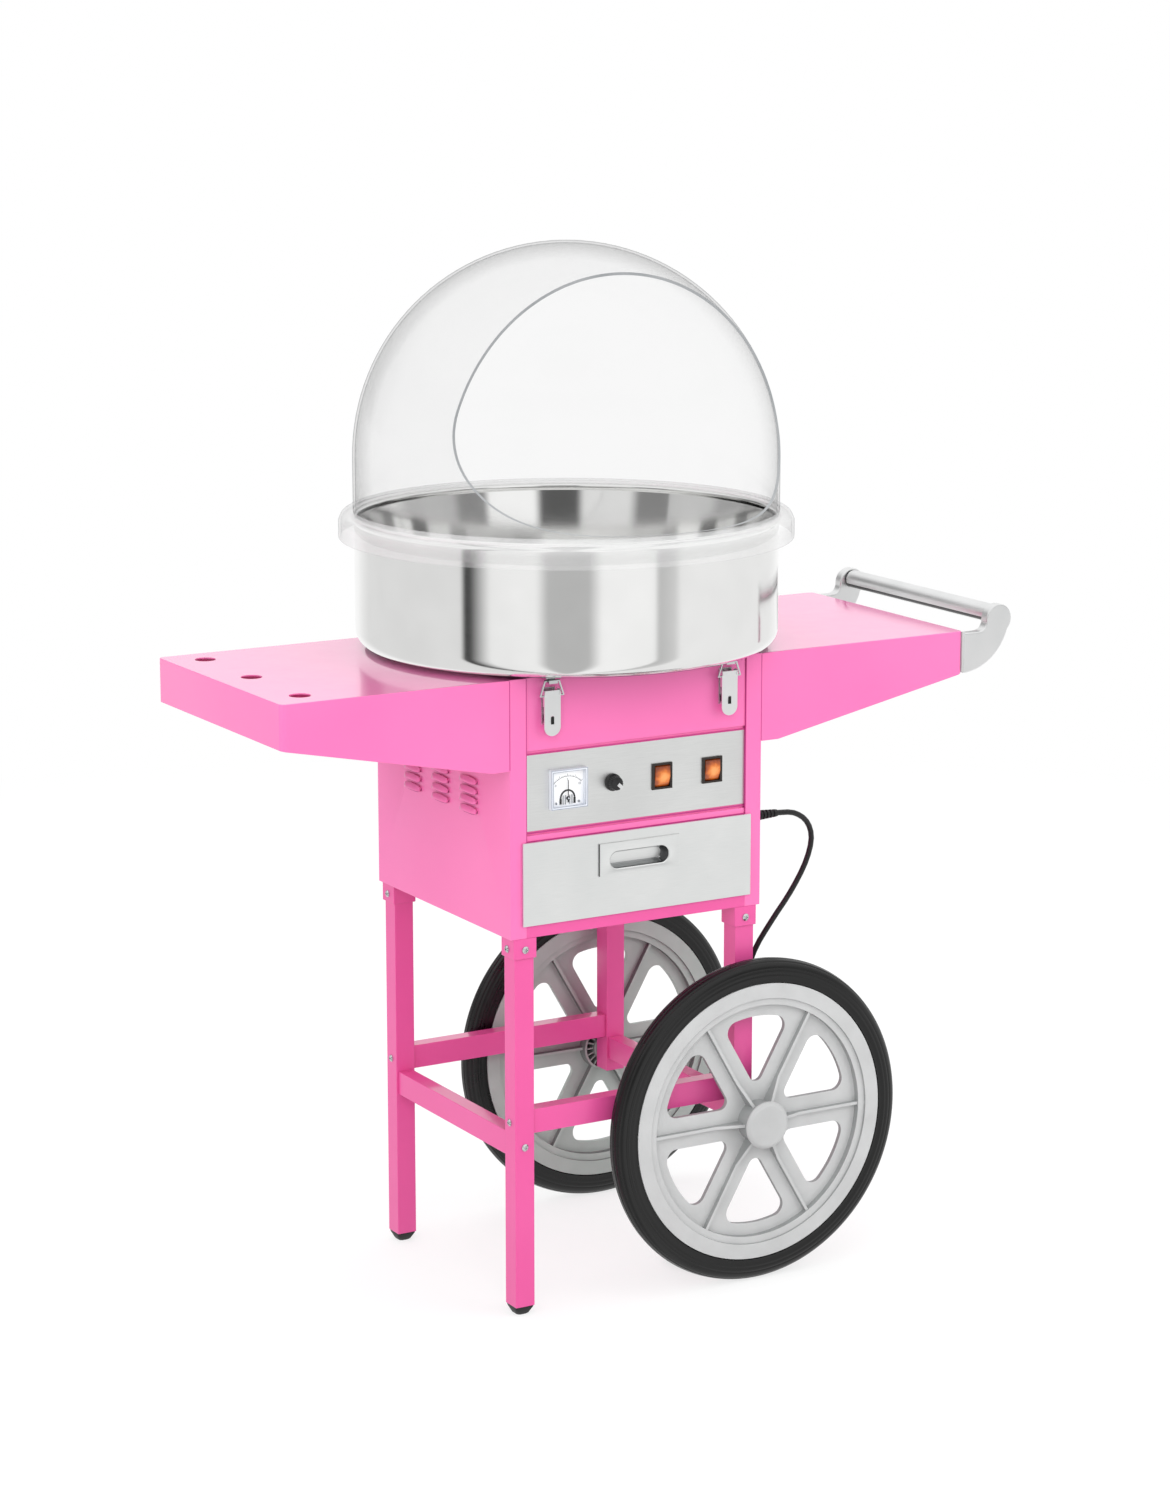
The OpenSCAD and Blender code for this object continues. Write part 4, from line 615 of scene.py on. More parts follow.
# nodes that get the darker copy of the enamel as painted shade
shadedNodes = ("front_left_leg", "leg_sockets", "base_panel", "rear_left_leg", "rear_right_leg", "front_right_leg",
          "front_rail", "rear_rail", "left_rail", "right_rail")
louvred = ("left_side_panel", "right_side_panel", "rear_panel")
folded = {"left_shelf": 1.8, "right_shelf": 1.8, "front_panel": 1.0}
for node, width in sheetEdges.items():
    paint = shadedTubePink if node in shadedNodes else pink
    painted = softEdged(pieceName(node), node, paint, width, merge=node not in louvred, fold=folded.get(node, 0))
    if node in ("left_shelf", "right_shelf"):
        # as in the photograph, the bowl's foot and the push bar stay free of pink
        painted.visible_glossy = False
softEdged("controlPlatePiece", "control_plate", plateSteel, 0.3)
softEdged("drawerFrontPiece", "drawer_front", drawerSteel, 0.6, "drawer")
softEdged("drawerTrayPiece", "drawer_tray", drawerSteel, 0.3, "drawer")
softEdged("handleArmsPiece", "handle_arms", castSatin, 2.2, segments=4)
softEdged("switchHousingsPiece", "switch_housings", bezelAbs, 0.5)
softEdged("latchBasesPiece", "latch_bases", zinc, 0.25)
for side in ("left", "right"):
    softEdged(side + "LatchLeverPiece", side + "_latch_lever", leverZinc, 0.3, side + "_lever")
for side in ("left", "right"):
    low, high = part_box(side + "_latch_lever")
    x = (low.x + high.x) / 2
    dark = [block((0.0056, 0.0006, 0.011), (x, low.y + 0.0018, low.z + 0.0175)),
            block((0.0022, 0.0012, 0.0060), (x - 0.0008, low.y + 0.0008, low.z + 0.0185))]
    addJoined(side + "LeverHook", dark, footRubber, side + "_lever", smooth=False)
for side, outward in (("front", -1), ("rear", 1)):
    piece = softEdged(side + "WheelPiece", side + "_wheel", wheelPlastic, 0.7, side + "_wheel_set")
    mesh = piece.data
    mesh.materials.append(wheelShade[side])
    mesh.materials.append(wheelDeepShade)
    middle = nodeCentre(side + "_tyre")
    for face in mesh.polygons:
        reach = math.hypot(face.center.x - middle.x, face.center.z - middle.z)
        facing = face.normal.y * outward
        if facing < -0.5 and reach < 0.160:
            face.material_index = 1
        elif abs(facing) <= 0.5 and reach < 0.159:
            # walls of ribs, hub and window rims get painted shade; those behind the web get the darkest
            behind = (face.center.y - middle.y) * outward < -0.003
            face.material_index = 2 if behind else 1
print("sheet and moulded edges rounded")


# louvres pressed outwards, each with closed round ends, and a dark strip painted as the shade under its lip
louvre = {"width": 39, "height": 7.5, "out": 3.4, "pitch": (72, 12), "drop": 132, "columns": 3, "rows": 4}


def makeLouvres(s):
    across, down = np.meshgrid(np.linspace(-1, 1, 25), np.linspace(0, 1, 9), indexing="ij")
    end = np.sqrt(np.clip(1 - across ** 4, 0, 1))
    u = across * s["width"] / 2
    w = -1.6 * across ** 2 * (1 - down) - s["height"] * down - 0.2
    n = s["out"] * end * np.sin(down * math.pi / 2) ** 0.8 + 0.05
    lip = np.linspace(-1, 1, 25)
    lipShade = np.concatenate([np.c_[lip * s["width"] / 2, -s["height"] + 0.6 + 0 * lip],
                            np.c_[lip * s["width"] / 2, -s["height"] - 0.1 - 2.3 * (1 - lip ** 4)][::-1]])
    hoods, lipShades = [], []
    sheets = [((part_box("left_side_panel")[0].x, 0), (0, -1), (-1, 0)), ((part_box("right_side_panel")[1].x, 0), (0, 1), (1, 0)),
              ((cartX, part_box("rear_panel")[1].y - 0.003), (-1, 0), (0, 1))]
    for (x, y), along, outward in sheets:
        for column in range(s["columns"]):
            for row in range(s["rows"]):
                slide = (column - (s["columns"] - 1) / 2) * s["pitch"][0]
                z = deckTop - (s["drop"] + row * s["pitch"][1]) * mm

                def placed(a, h, depth):
                    a, depth = (a + slide) * mm, depth * mm
                    return np.stack([x + a * along[0] + depth * outward[0], y + a * along[1] + depth * outward[1],
                                     z + h * mm + 0 * a], -1)
                grid = np.concatenate([placed(u, w, n), placed(u, w - 0.05, np.maximum(n - 0.8, -0.4))[:, ::-1]], 1)
                hoods.append((grid.reshape(-1, 3), gridFaces(25, 18, False, True).tolist()
                              + [list(range(18)), list(range(24 * 18, 25 * 18))[::-1]]))
                k = len(lipShade)
                ring = np.concatenate([placed(lipShade[:, 0], lipShade[:, 1], np.full(k, d)) for d in (-0.3, 0.12)])
                quads = [[i, k - 1 - i, k - 2 - i, i + 1] for i in range(24)]
                quads += [[k + a for a in face[::-1]] for face in quads]
                quads += [[i, (i + 1) % k, k + (i + 1) % k, k + i] for i in range(k)]
                lipShades.append((ring, quads))
    addJoined("louvreHoods", hoods, pink, "cart", sharp=50)
    addJoined("louvreLipShade", lipShades, seamShade, "cart", smooth=False)


makeLouvres(louvre)


# dark strips painted as the shade in the joints between the folded sheets
def seam(low, high):
    low, high = np.array(low), np.array(high)
    return block(high - low, (low + high) / 2)


panelLow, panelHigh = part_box("front_panel")
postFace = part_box("left_side_panel")[0].y
shelfLow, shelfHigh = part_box("left_shelf")
otherLow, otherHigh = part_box("right_shelf")
plateLow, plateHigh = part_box("control_plate")
seams = [seam((x - 0.0005, postFace - 0.00008, panelLow.z), (x + 0.0005, postFace + 0.003, deckTop - 0.001))
         for x in (panelLow.x - 0.0001, panelHigh.x + 0.0001)]
seams += [seam((x - 0.0005, postFace - 0.00008, shelfLow.z + 0.001), (x + 0.0005, postFace + 0.003, shelfHigh.z - 0.002))
          for x in (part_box("left_side_panel")[0].x + 0.003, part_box("right_side_panel")[1].x - 0.003)]
seams += [seam((plateLow.x - 0.001, plateLow.y - 0.0012, plateHigh.z - 0.0003),
               (plateHigh.x + 0.001, plateLow.y + 0.001, plateHigh.z + 0.0012)),
          seam((plateLow.x - 0.001, plateLow.y - 0.0006, plateLow.z - 0.0028),
               (plateHigh.x + 0.001, plateLow.y + 0.001, plateLow.z - 0.0016)),
          seam((panelLow.x, postFace + 0.0006, panelLow.z - 0.0011), (panelHigh.x, postFace + 0.004, panelLow.z + 0.0006))]
addJoined("sheetSeamShade", seams, seamShade, "cart", smooth=False)
# pale strips at the right shelf's end by the handle arms, painted as the highlight on the shelf's rounded end corners
shelfEndHighlight = [seam((otherHigh.x - 0.0015, y - 0.0002, otherHigh.z - 0.052), (otherHigh.x + 0.0022, y + 0.0035, otherHigh.z - 0.001))
          for y in (otherLow.y, otherHigh.y - 0.0033)]
addJoined("shelfEndPaintedHighlight", shelfEndHighlight, capPlastic, "cart", smooth=False)
print("louvres and seams made")


# rubber feet: plugs with a round-cornered, tapered pad below the tube
footShape = {"height": 11, "rows": [(0, 7.2, 4.5), (1.2, 8.8, 5), (5, 10.6, 4.5), (9.2, 12.4, 3.2), (11, 12.6, 2.6)]}


def makeFeet(s):
    parts = []
    for leg in ("front_left_leg", "rear_left_leg"):
        low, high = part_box(leg)
        rings = [np.c_[filletPath([(-w, -w), (w, -w), (w, w), (-w, w)], r, 5), np.full(24, z)] for z, w, r in s["rows"]]
        grid = np.stack(rings) * mm + np.array(((low.x + high.x) / 2, (low.y + high.y) / 2, 0))
        faces = gridFaces(len(rings), 24, False, True).tolist()
        last = (len(rings) - 1) * 24
        faces += [list(range(24))[::-1], list(range(last, last + 24))]
        parts.append((grid.reshape(-1, 3), faces))
    addJoined("rubberFootPads", parts, footRubber, "cart", ["rubber_feet"], sharp=50)


makeFeet(footShape)

# bowl: spun from one disc, its rim rolled outwards to a bead
bowlShape = {"radius": 259, "bottom": deckTop / mm + 3.5, "depth": 160.5, "wall": 1.2, "draft": 14, "corner": 21, "hole": 45,
             "bead": 4, "collar": 9}


def bowlProfile(s):
    r, z, w, c = s["radius"], s["bottom"], s["wall"], s["corner"]
    top = z + s["depth"] - s["bead"]
    corner = np.radians(np.linspace(-90, 0, 25))
    outer = np.c_[r - c + c * np.cos(corner), z + c + c * np.sin(corner)]
    inner = np.c_[r - c + (c - w) * np.cos(corner) - s["draft"], z + c + (c - w) * np.sin(corner)][::-1]
    roll = np.radians(np.linspace(-60, 210, 25))
    bead = np.c_[r - w / 2 + s["bead"] * np.cos(roll), top + s["bead"] * np.sin(roll)]
    return np.concatenate([
        [(s["hole"], z + s["collar"]), (s["hole"], z + 1), (s["hole"] + 1, z), (120, z), (r - c - 8, z)], outer,
        [(r, z + c + 1.5), (r, top - 60), (r, top - s["bead"] - 3), (r, top - s["bead"] - 1)], bead,
        [(r - w, top - s["bead"] - 1), (r - w - 0.3, top - s["bead"] - 3), (r - w - s["draft"], top - 66),
         (r - w - s["draft"], z + c + 10)], inner,
        [(r - c - s["draft"] - 8, z + w), (120, z + w), (s["hole"] + w + 1, z + w), (s["hole"] + w, z + w + 1),
         (s["hole"] + w, z + s["collar"])]])


bowlPiece = turned("spunBowl", bowlProfile(bowlShape), (cartX, 0, 0), bowlSteel, "cart", ["bowl"],
                   segments=256, sharp=50)
# the underside faces get the dark grey painted shade, which the shelf beneath mirrors
bowlPiece.data.materials.append(bowlUndersideShade)
for face in bowlPiece.data.polygons:
    if face.normal.z < -0.9:
        face.material_index = 1

# dome: the solid's own surface made smooth, with a matt sawn edge round the serving opening, whose grey is partly
# painted shade for the dark line the edge shows
domeCentre = (cartX, 0)


def makeDome(centre):
    mesh = nodes["dome"].data.copy()
    bm = bmesh.new()
    bm.from_mesh(mesh)
    bmesh.ops.remove_doubles(bm, verts=bm.verts, dist=2e-6)
    bmesh.ops.recalc_face_normals(bm, faces=bm.faces)
    bm.to_mesh(mesh)
    bm.free()
    for attribute in ("sharp_edge", "custom_normal", "sharp_face"):
        if attribute in mesh.attributes:
            mesh.attributes.remove(mesh.attributes[attribute])
    mesh.polygons.foreach_set("use_smooth", np.full(len(mesh.polygons), True))
    piece = placePiece("clearDome", mesh, domeClear, "dome_cover", ["dome"], sharp=40)
    mesh.materials.append(domeCut)
    count = len(mesh.polygons)
    at, normal = np.empty(count * 3), np.empty(count * 3)
    mesh.polygons.foreach_get("center", at)
    mesh.polygons.foreach_get("normal", normal)
    at, normal = at.reshape(-1, 3), normal.reshape(-1, 3)
    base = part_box("dome")[0].z + 0.0687
    outward = at - np.array([centre[0], centre[1], 0])
    outward[:, 2] = np.maximum(at[:, 2] - base, 0)
    outward /= np.linalg.norm(outward, axis=1)[:, None]
    edge = (np.abs((outward * normal).sum(1)) < 0.7) & (at[:, 2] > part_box("dome")[0].z + 0.004)
    mesh.polygons.foreach_set("material_index", edge.astype(np.int32))
    mesh.update()


makeDome(domeCentre)

# flange round the dome's foot
flangeShape = {"wall": 260, "out": 18, "top": 6, "height": 35, "thick": 3}


def flangeProfile(s, rim):
    a, b = s["wall"], s["wall"] + s["out"]
    t, low = rim + s["top"], rim + s["top"] - s["height"]
    outer = [(a, t), (a + 7, t - 0.6), (b - 3.5, t - 5), (b, t - 13), (b, t - 16.5), (b, low + 3.5), (b, low + 1)]
    inner = [(b - 3, low + 1), (b - 3, low + 8), (b - 3, t - 12.6), (b - 6, t - 7.6), (a + 6, t - 3.6), (a, t - 3)]
    return filletPath(outer + inner, [0, 6, 6, 3, 0, 0, 1.4, 1.4, 0, 3, 5, 4, 0], 5)


rimZ = (bowlShape["bottom"] + bowlShape["depth"])
turned("domeFlange", flangeProfile(flangeShape, rimZ), (cartX, 0, 0), ringMilk, "dome_cover",
       ["dome_ring"], segments=256)
print("bowl and flange turned")


# wheels: rubber tyre with a rounded tread, fine moulding lines and a lip over the rim
wheelShape = {"radius": 205, "rim": 176, "width": 30, "shoulder": 10, "capRadius": 30, "hubOut": 28}
wheelPlace = {side: nodeCentre(side + "_tyre") for side in ("front", "rear")}


def tyreProfile(s):
    r, w = s["radius"], s["width"] / 2
    turn = np.radians(np.linspace(0, 180, 121))
    # rounded tread: a flattened half circle, with a narrow groove near each shoulder and one line on each wall
    across = -np.cos(turn) * w
    crown = s["rim"] + (r - s["rim"]) * np.sin(turn) ** 0.42
    groove = sum(1.2 * np.exp(-((np.abs(across) - at) / 0.6) ** 2) for at in (3.2, 9.2))
    line = sum(0.6 * np.exp(-((crown - s["rim"] - at) / 0.8) ** 2) for at in (6, 11.5, 17)) * np.sign(across)
    body = np.c_[crown - groove, across - line]
    return np.concatenate([[(s["rim"], -w + 3)], [(s["rim"] + 1.2, -w + 0.3)], body[1:-1], [(s["rim"] + 1.2, w - 0.3)],
                           [(s["rim"], w - 3)]])


def capProfile(s):
    r, h = s["capRadius"], s["hubOut"]
    return filletPath([(0.3, h - 2.3), (11, h - 2.3), (11, h), (r, h), (r, h + 2.2), (r - 4, h + 6.3), (12, h + 6.8),
                       (0.3, h + 6.8)], [0, 0, 0, 0.6, 3, 5, 8, 0], 5)


for side, sign in (("front", -1), ("rear", 1)):
    place, body = wheelPlace[side], side + "_wheel_set"
    turned(side + "RubberTyre", tyreProfile(wheelShape), place, tyreRubber, body, [side + "_tyre"],
           axis="y", segments=256, side=sign, sharp=60)
    turned(side + "DomedCap", capProfile(wheelShape), place, capPlastic, body,
           [side + "_hub_cap"], axis="y", segments=96, side=sign)
print("wheels dressed")


# push bar: a dark strip along its underside, at the seam angles, painted as a reflection, and a dark ring at each end
# painted as the shade in the joint
barShape = {"radius": 11.8, "collar": 10.4, "collarWidth": 1.6, "seam": (204, 232)}


def makeBar(s):
    low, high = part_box("handle_bar")
    middle = (low + high) / 2
    half = (high.y - low.y) / 2 / mm - 9
    profile = filletPath([(0.3, -half - 8), (8, -half - 8), (8, -half), (s["collar"], -half),
                          (s["collar"], -half + s["collarWidth"]), (s["radius"], -half + s["collarWidth"] + 1),
                          (s["radius"], half - s["collarWidth"] - 1), (s["collar"], half - s["collarWidth"]),
                          (s["collar"], half), (8, half), (8, half + 8), (0.3, half + 8)],
                         [0, 0, 0, 0, 0, 0.3, 0.3, 0, 0, 0, 0, 0], 2)
    turned("pushBar", profile, middle, castSatin, "cart", ["handle_bar"], axis="y", segments=96)
    turn = np.radians(np.linspace(*s["seam"], 9))
    r = np.array([[s["radius"] - 0.6], [s["radius"] + 0.12]])
    ring = np.concatenate([np.c_[k * np.cos(turn), k * np.sin(turn)][::d] for k, d in zip(r, (1, -1))])
    ends = [np.c_[ring[:, 0], np.full(18, y), ring[:, 1]] for y in (-half, half)]
    strip = np.concatenate(ends) * mm + np.array(middle)
    faces = [[i, (i + 1) % 18, 18 + (i + 1) % 18, 18 + i] for i in range(18)]
    for layer in (0, 18):
        faces += [[layer + i, layer + i + 1, layer + 16 - i, layer + 17 - i] for i in range(8)]
    barDarkMarks = [(strip, faces)]
    for sign in (-1, 1):
        endShadeRing = revolve([(8.5, 0), (s["radius"] - 0.2, 0), (s["radius"] - 0.2, 1.5), (8.5, 1.5)],
                      np.array(middle) + (0, sign * (half - 0.9) * mm, 0), "y", 64, -sign)
        barDarkMarks.append((endShadeRing.reshape(-1, 3), gridFaces(*endShadeRing.shape[:2], True, True).tolist()))
    addJoined("barPaintedDarks", barDarkMarks, blackAbs, "cart")


makeBar(barShape)

# knob: fluted skirt and a bright pointer plate
knobShape = {"radius": 10.5, "length": 13, "flutes": 20, "fluteDepth": 0.55, "pointer": 318}


def makeKnob(s):
    low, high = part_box("control_knob")
    centre = np.array((nodeCentre("control_knob").x, plateFace, controlZ))
    rows = np.array([(0.2, 0.3, 0), (s["radius"] - 0.4, 0.3, 0), (s["radius"], 0.8, 0), (s["radius"], 3.2, 0),
                     (s["radius"] - 1.2, 4.4, 0), (s["radius"] - 1.6, 5.2, 1), (s["radius"] - 1.9, 10.8, 1),
                     (s["radius"] - 2.6, 12.4, 0.6), (s["radius"] - 4.2, s["length"], 0), (0.2, s["length"] + 0.2, 0)])
    turn = np.linspace(0, 2 * math.pi, 240, endpoint=False)[None]
    wave = s["fluteDepth"] * (0.5 - 0.5 * np.cos(turn * s["flutes"])) * rows[:, 2:3]
    r = rows[:, :1] - wave
    grid = np.stack([r * np.cos(turn), -rows[:, 1:2] + 0 * turn, r * np.sin(turn)], -1) * mm + centre
    faces = gridFaces(*grid.shape[:2], False, True).tolist()
    count = grid.shape[1]
    top = (len(rows) - 1) * count
    faces += [list(range(count))[::-1], list(range(top, top + count))]
    addPiece("regulatorKnob", grid, faces, blackAbs, "knob", ["control_knob"])
    a = math.radians(s["pointer"])
    along, across = np.array((math.cos(a), math.sin(a))), np.array((-math.sin(a), math.cos(a)))
    ring = np.array([along * 0.6 - across * 2.2, along * 8.4 - across * 2.2, along * 8.4 + across * 2.2,
                     along * 0.6 + across * 2.2])
    bar = np.concatenate([np.c_[ring[:, 0], np.full(4, -h), ring[:, 1]] for h in (s["length"] - 1, s["length"] + 0.75)])
    sides = [[i, (i + 1) % 4, 4 + (i + 1) % 4, 4 + i] for i in range(4)] + [[3, 2, 1, 0], [4, 5, 6, 7]]
    addJoined("knobPointer", [(bar * mm + centre, sides)], leverZinc, "knob")


makeKnob(knobShape)
print("controls made")


# meter: printed dial with its scale, the moving iron's bridge and the needle
meterShape = {"centre": nodeCentre("meter_window"), "drop": 12, "scale": 26, "ticks": 21, "sweep": 45, "floor": 1.3}


def arcBand(centre, inner, outer, start, end, y, depth, count=40):
    # flat band between two radii, facing the front, as a closed solid
    a = np.radians(np.linspace(start, end, count))
    ring = np.concatenate([np.c_[outer * np.sin(a), outer * np.cos(a)], np.c_[inner * np.sin(a), inner * np.cos(a)][::-1]])
    n = len(ring)
    points = np.concatenate([np.c_[ring[:, 0], np.full(n, q), ring[:, 1]] for q in (-depth, 0)])
    quads = []
    half = count
    for layer, order in ((0, 1), (n, -1)):
        for i in range(half - 1):
            quads.append([layer + i, layer + i + 1, layer + n - 2 - i, layer + n - 1 - i][::order])
    quads += [[i, (i + 1) % n, n + (i + 1) % n, n + i] for i in range(n)]
    return points * mm + np.array((centre[0], y, centre[1])), quads


def makeMeter(s):
    c = s["centre"]
    y = plateFace - s["floor"] * mm - 0.00002
    pivot = (c.x, controlZ - s["drop"] * mm)
    inked = [arcBand(pivot, s["scale"], s["scale"] + 0.5, -s["sweep"], s["sweep"], y, 0.08)]
    for i, a in enumerate(np.linspace(-s["sweep"], s["sweep"], s["ticks"])):
        long = 3.2 if i % 5 == 0 else 1.7
        inked.append(arcBand(pivot, s["scale"], s["scale"] + long, a - 0.45, a + 0.45, y, 0.08, 2))
    addJoined("dialScale", inked, dialInk, "cart")
    dark = [arcBand(pivot, 8.6, 10.4, -88, 88, y, 0.8, 24)]
    for x in (-9.5, 9.5):
        dark.append(block((0.0026, 0.0008, 0.007), (c.x + x * mm, y - 0.0004, pivot[1] - 0.0035)))
    addJoined("meterBridge", dark, darkInk, "cart")
    grey = [block((0.0014, 0.0006, 0.011), (c.x + x * mm, y - 0.0003, pivot[1] - 0.002)) for x in (-6, -3, 3, 6)]
    grey += [arcBand((c.x + x * mm, pivot[1] - 0.0055), 0, 1.5, -180, 180, y, 0.7, 25) for x in (-15.5, 15.5)]
    addJoined("meterMovement", grey, greyPart, "cart")
    for label, a in (("0", -45), ("5", 0), ("10", 45)):
        data = bpy.data.curves.new("dialNumber", "FONT")
        data.body, data.size, data.align_x, data.align_y = label, 0.0042, "CENTER", "CENTER"
        data.extrude = 0.00003
        holder = bpy.data.objects.new("dialNumber", data)
        scene.collection.objects.link(holder)
        bpy.context.view_layer.update()
        mesh = bpy.data.meshes.new_from_object(holder.evaluated_get(bpy.context.evaluated_depsgraph_get()))
        bpy.data.objects.remove(holder)
        co = np.empty(len(mesh.vertices) * 3)
        mesh.vertices.foreach_get("co", co)
        flat = co.reshape(-1, 3)
        r = (s["scale"] - 3.4) * mm
        place = np.array((pivot[0] + r * math.sin(math.radians(a)), y - 0.00006, pivot[1] + r * math.cos(math.radians(a))))
        turned3d = np.c_[flat[:, 0], -flat[:, 2], flat[:, 1]] + place
        mesh.vertices.foreach_set("co", turned3d.ravel())
        mesh.update()
        placePiece("dialNumber" + label, mesh, dialInk, "cart", smooth=False)


makeMeter(meterShape)
softEdged("meterCasePiece", "meter_case", meterFrame, 0.5)
caseLow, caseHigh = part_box("meter_case")
windowLow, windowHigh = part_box("meter_window")
dialY = plateFace - meterShape["floor"] * mm
addJoined("dialCard", [seam((windowLow.x + 0.001, dialY - 0.00002, windowLow.z + 0.001),
                            (windowHigh.x - 0.001, dialY + 0.0003, windowHigh.z - 0.001))], meterWhite, "cart",
          smooth=False)
# grey lines painted as shade along the case's outer edge and just inside its border
rims = []
for y, inset, wide in ((caseLow.y, 0.0001, 0.0009), (caseLow.y, 0.0026, 0.0005)):
    x0, x1, z0, z1 = caseLow.x + inset, caseHigh.x - inset, caseLow.z + inset, caseHigh.z - inset
    for a, b in (((x0, z0), (x1, z0 + wide)), ((x0, z1 - wide), (x1, z1)), ((x0, z0 + wide), (x0 + wide, z1 - wide)),
                 ((x1 - wide, z0 + wide), (x1, z1 - wide))):
        rims.append(seam((a[0], y - 0.00012, a[1]), (b[0], y + 0.0004, b[1])))
addJoined("meterRim", rims, meterRim, "cart", smooth=False)
print("meter dialled")


# rockers: lit orange mouldings with a curved face and grip lines
for node, body in (("heat_rocker", "heat_switch"), ("motor_rocker", "motor_switch")):
    softEdged(pieceName(node), node, orangeLens[node], 0.5, body, segments=3)

# drawer pull: pressed plate with a rounded finger pocket
pullShape = {"slotWidth": 82, "slotHeight": 21, "depth": 12.6, "lip": 1.6, "plate": 0.9, "drop": 5}


def slotRing(width, height, count=96):
    # outline with round ends, walked at an even number of points
    r, half = height / 2, (width - height) / 2
    a = np.radians(np.linspace(-90, 90, count // 2))
    right = np.c_[half + r * np.cos(a), r * np.sin(a)]
    return np.concatenate([right, -right])


def makePull(s):
    low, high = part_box("drawer_pull")
    centre = np.array(((low.x + high.x) / 2, low.y, (low.z + high.z) / 2 - s["drop"] * mm))
    w, h = (high.x - low.x) / mm, (high.z - low.z) / mm
    steps = np.linspace(0, 1, 9)
    # each ring is the slot's outline drawn in by the pocket's rounded wall at its depth
    inset = 4.2 * (1 - np.sqrt(1 - steps ** 2 * 0.998))
    depth = s["depth"] * steps ** 0.75
    rings = [(slotRing(s["slotWidth"] + 2 * s["lip"], s["slotHeight"] + 2 * s["lip"]), 0.0),
             (slotRing(s["slotWidth"] + s["lip"], s["slotHeight"] + s["lip"]), 0.35)]
    rings += [(slotRing(s["slotWidth"] - 2 * i, s["slotHeight"] - 2 * i), 1.0 + d) for i, d in zip(inset, depth)]
    back = [(slotRing(s["slotWidth"] - 2 * i + 1.6, s["slotHeight"] - 2 * i + 1.6), 1.8 + d)
            for i, d in zip(inset[::-1], depth[::-1])]
    count = len(rings[0][0])
    outline = np.concatenate([rings[0][0]])
    # plate's outer edge, its points set opposite the slot's own so the face is one even band
    scale = np.minimum((w / 2) / np.maximum(np.abs(outline[:, 0]), 1e-6),
                       np.where(outline[:, 1] > 0, h / 2 + s["drop"], h / 2 - s["drop"]) / np.maximum(np.abs(outline[:, 1]), 1e-6))
    frameOut = outline * scale[:, None]
    layers = [np.c_[frameOut[:, 0], np.full(count, 2.0), frameOut[:, 1]],
              np.c_[frameOut[:, 0], np.full(count, 0.4), frameOut[:, 1]],
              np.c_[frameOut[:, 0] * 0.993, np.full(count, 0.0), frameOut[:, 1] * 0.988]]
    layers += [np.c_[r[:, 0], np.full(count, d), r[:, 1]] for r, d in rings]
    layers += [np.c_[r[:, 0], np.full(count, d), r[:, 1]] for r, d in back]
    grid = np.stack(layers) * mm + centre
    rows = len(layers)
    faces = gridFaces(rows, count, False, True).tolist()
    front = 3 + len(rings)
    # the pocket's floor and its back are closed by one face each
    inner, outer = (front - 1) * count, front * count
    keep = [f for f in faces if not (min(f) >= inner and min(f) < inner + count and max(f) >= outer)]
    keep += [list(range(inner, inner + count)), list(range(outer, outer + count))[::-1]]
    last = (rows - 1) * count
    keep += [[i, last + i, last + (i + 1) % count, (i + 1) % count] for i in range(count)]
    piece = addPiece("drawerPullPlate", grid, keep, drawerSteel, "drawer", ["drawer_pull"], sharp=30)
    mesh = piece.data
    mesh.materials.append(pocketShade)
    mesh.materials.append(pocketFoldShade)
    # the pocket's right return, the front of its lower return and the plate's left edge get dark painted shade; the
    # lower return further in gets a lighter painted shade
    for face in mesh.polygons:
        at, normal = (np.array(face.center) - centre) / mm, face.normal
        inPocket = 1.4 < at[1] < s["depth"] + 1 and abs(at[0]) < s["slotWidth"] / 2 + 1 and abs(at[2]) < s["slotHeight"] / 2 + 1
        if (inPocket and normal.x < -0.35 and at[0] > 25) or (at[0] < -w / 2 + 0.5 and at[1] < 2.1):
            face.material_index = 1
        elif inPocket and normal.z > 0.45:
            face.material_index = 1 if at[1] < 5 else 2


makePull(pullShape)
print("drawer pull pressed")


# materials for the CAD nodes that show as they are
plainNodes = {
    "meter_window": windowClear, "meter_needle": darkInk, "regulator_body": blackAbs, "left_latch_bail": zinc,
    "right_latch_bail": zinc, "bowl_catches": zinc, "bowl_pads": footRubber, "motor": motorPaint,
    "spinner_shaft": zinc, "spinner_base": headAluminium, "spinner_band": bandSteel, "spinner_cap": headAluminium,
    "drawer_runners": zinc, "fasteners": zinc, "axle": zinc,
}
for node, material in plainNodes.items():
    data = nodes[node].data
    data.materials.clear()
    data.materials.append(material)
print("plain nodes finished")


# studio: white all round, with softly darker cards by the camera's side that the steel mirrors
studio = {"world": 0.8, "towardsCamera": -119.9,
          "cards": [(-58, 0.82), (-56.5, 0.03), (-52.5, 0.07), (-41, 0.93), (-16, 0.97), (-10, 0.53), (12, 0.53),
                    (19, 1.0), (48, 1.0), (50.5, 0.56), (60, 0.68), (64, 0.92), (140, 0.9), (160, 1.0), (205, 1.0),
                    (225, 0.8), (300, 0.82)],
          "upper": [(-150, 0.5), (-138, 0.15), (-122, 0.15), (-114, 0.4), (-96, 0.4), (-88, 0.62), (-62, 0.62), (-58, 0.25),
                    (-42, 0.25), (-36, 0.85), (-10, 0.8), (-6, 0.1), (14, 0.1), (18, 1.0), (44, 1.0), (48, 0.28),
                    (62, 0.28), (68, 0.55), (100, 0.55), (110, 0.75), (150, 0.95), (205, 1.0)]}
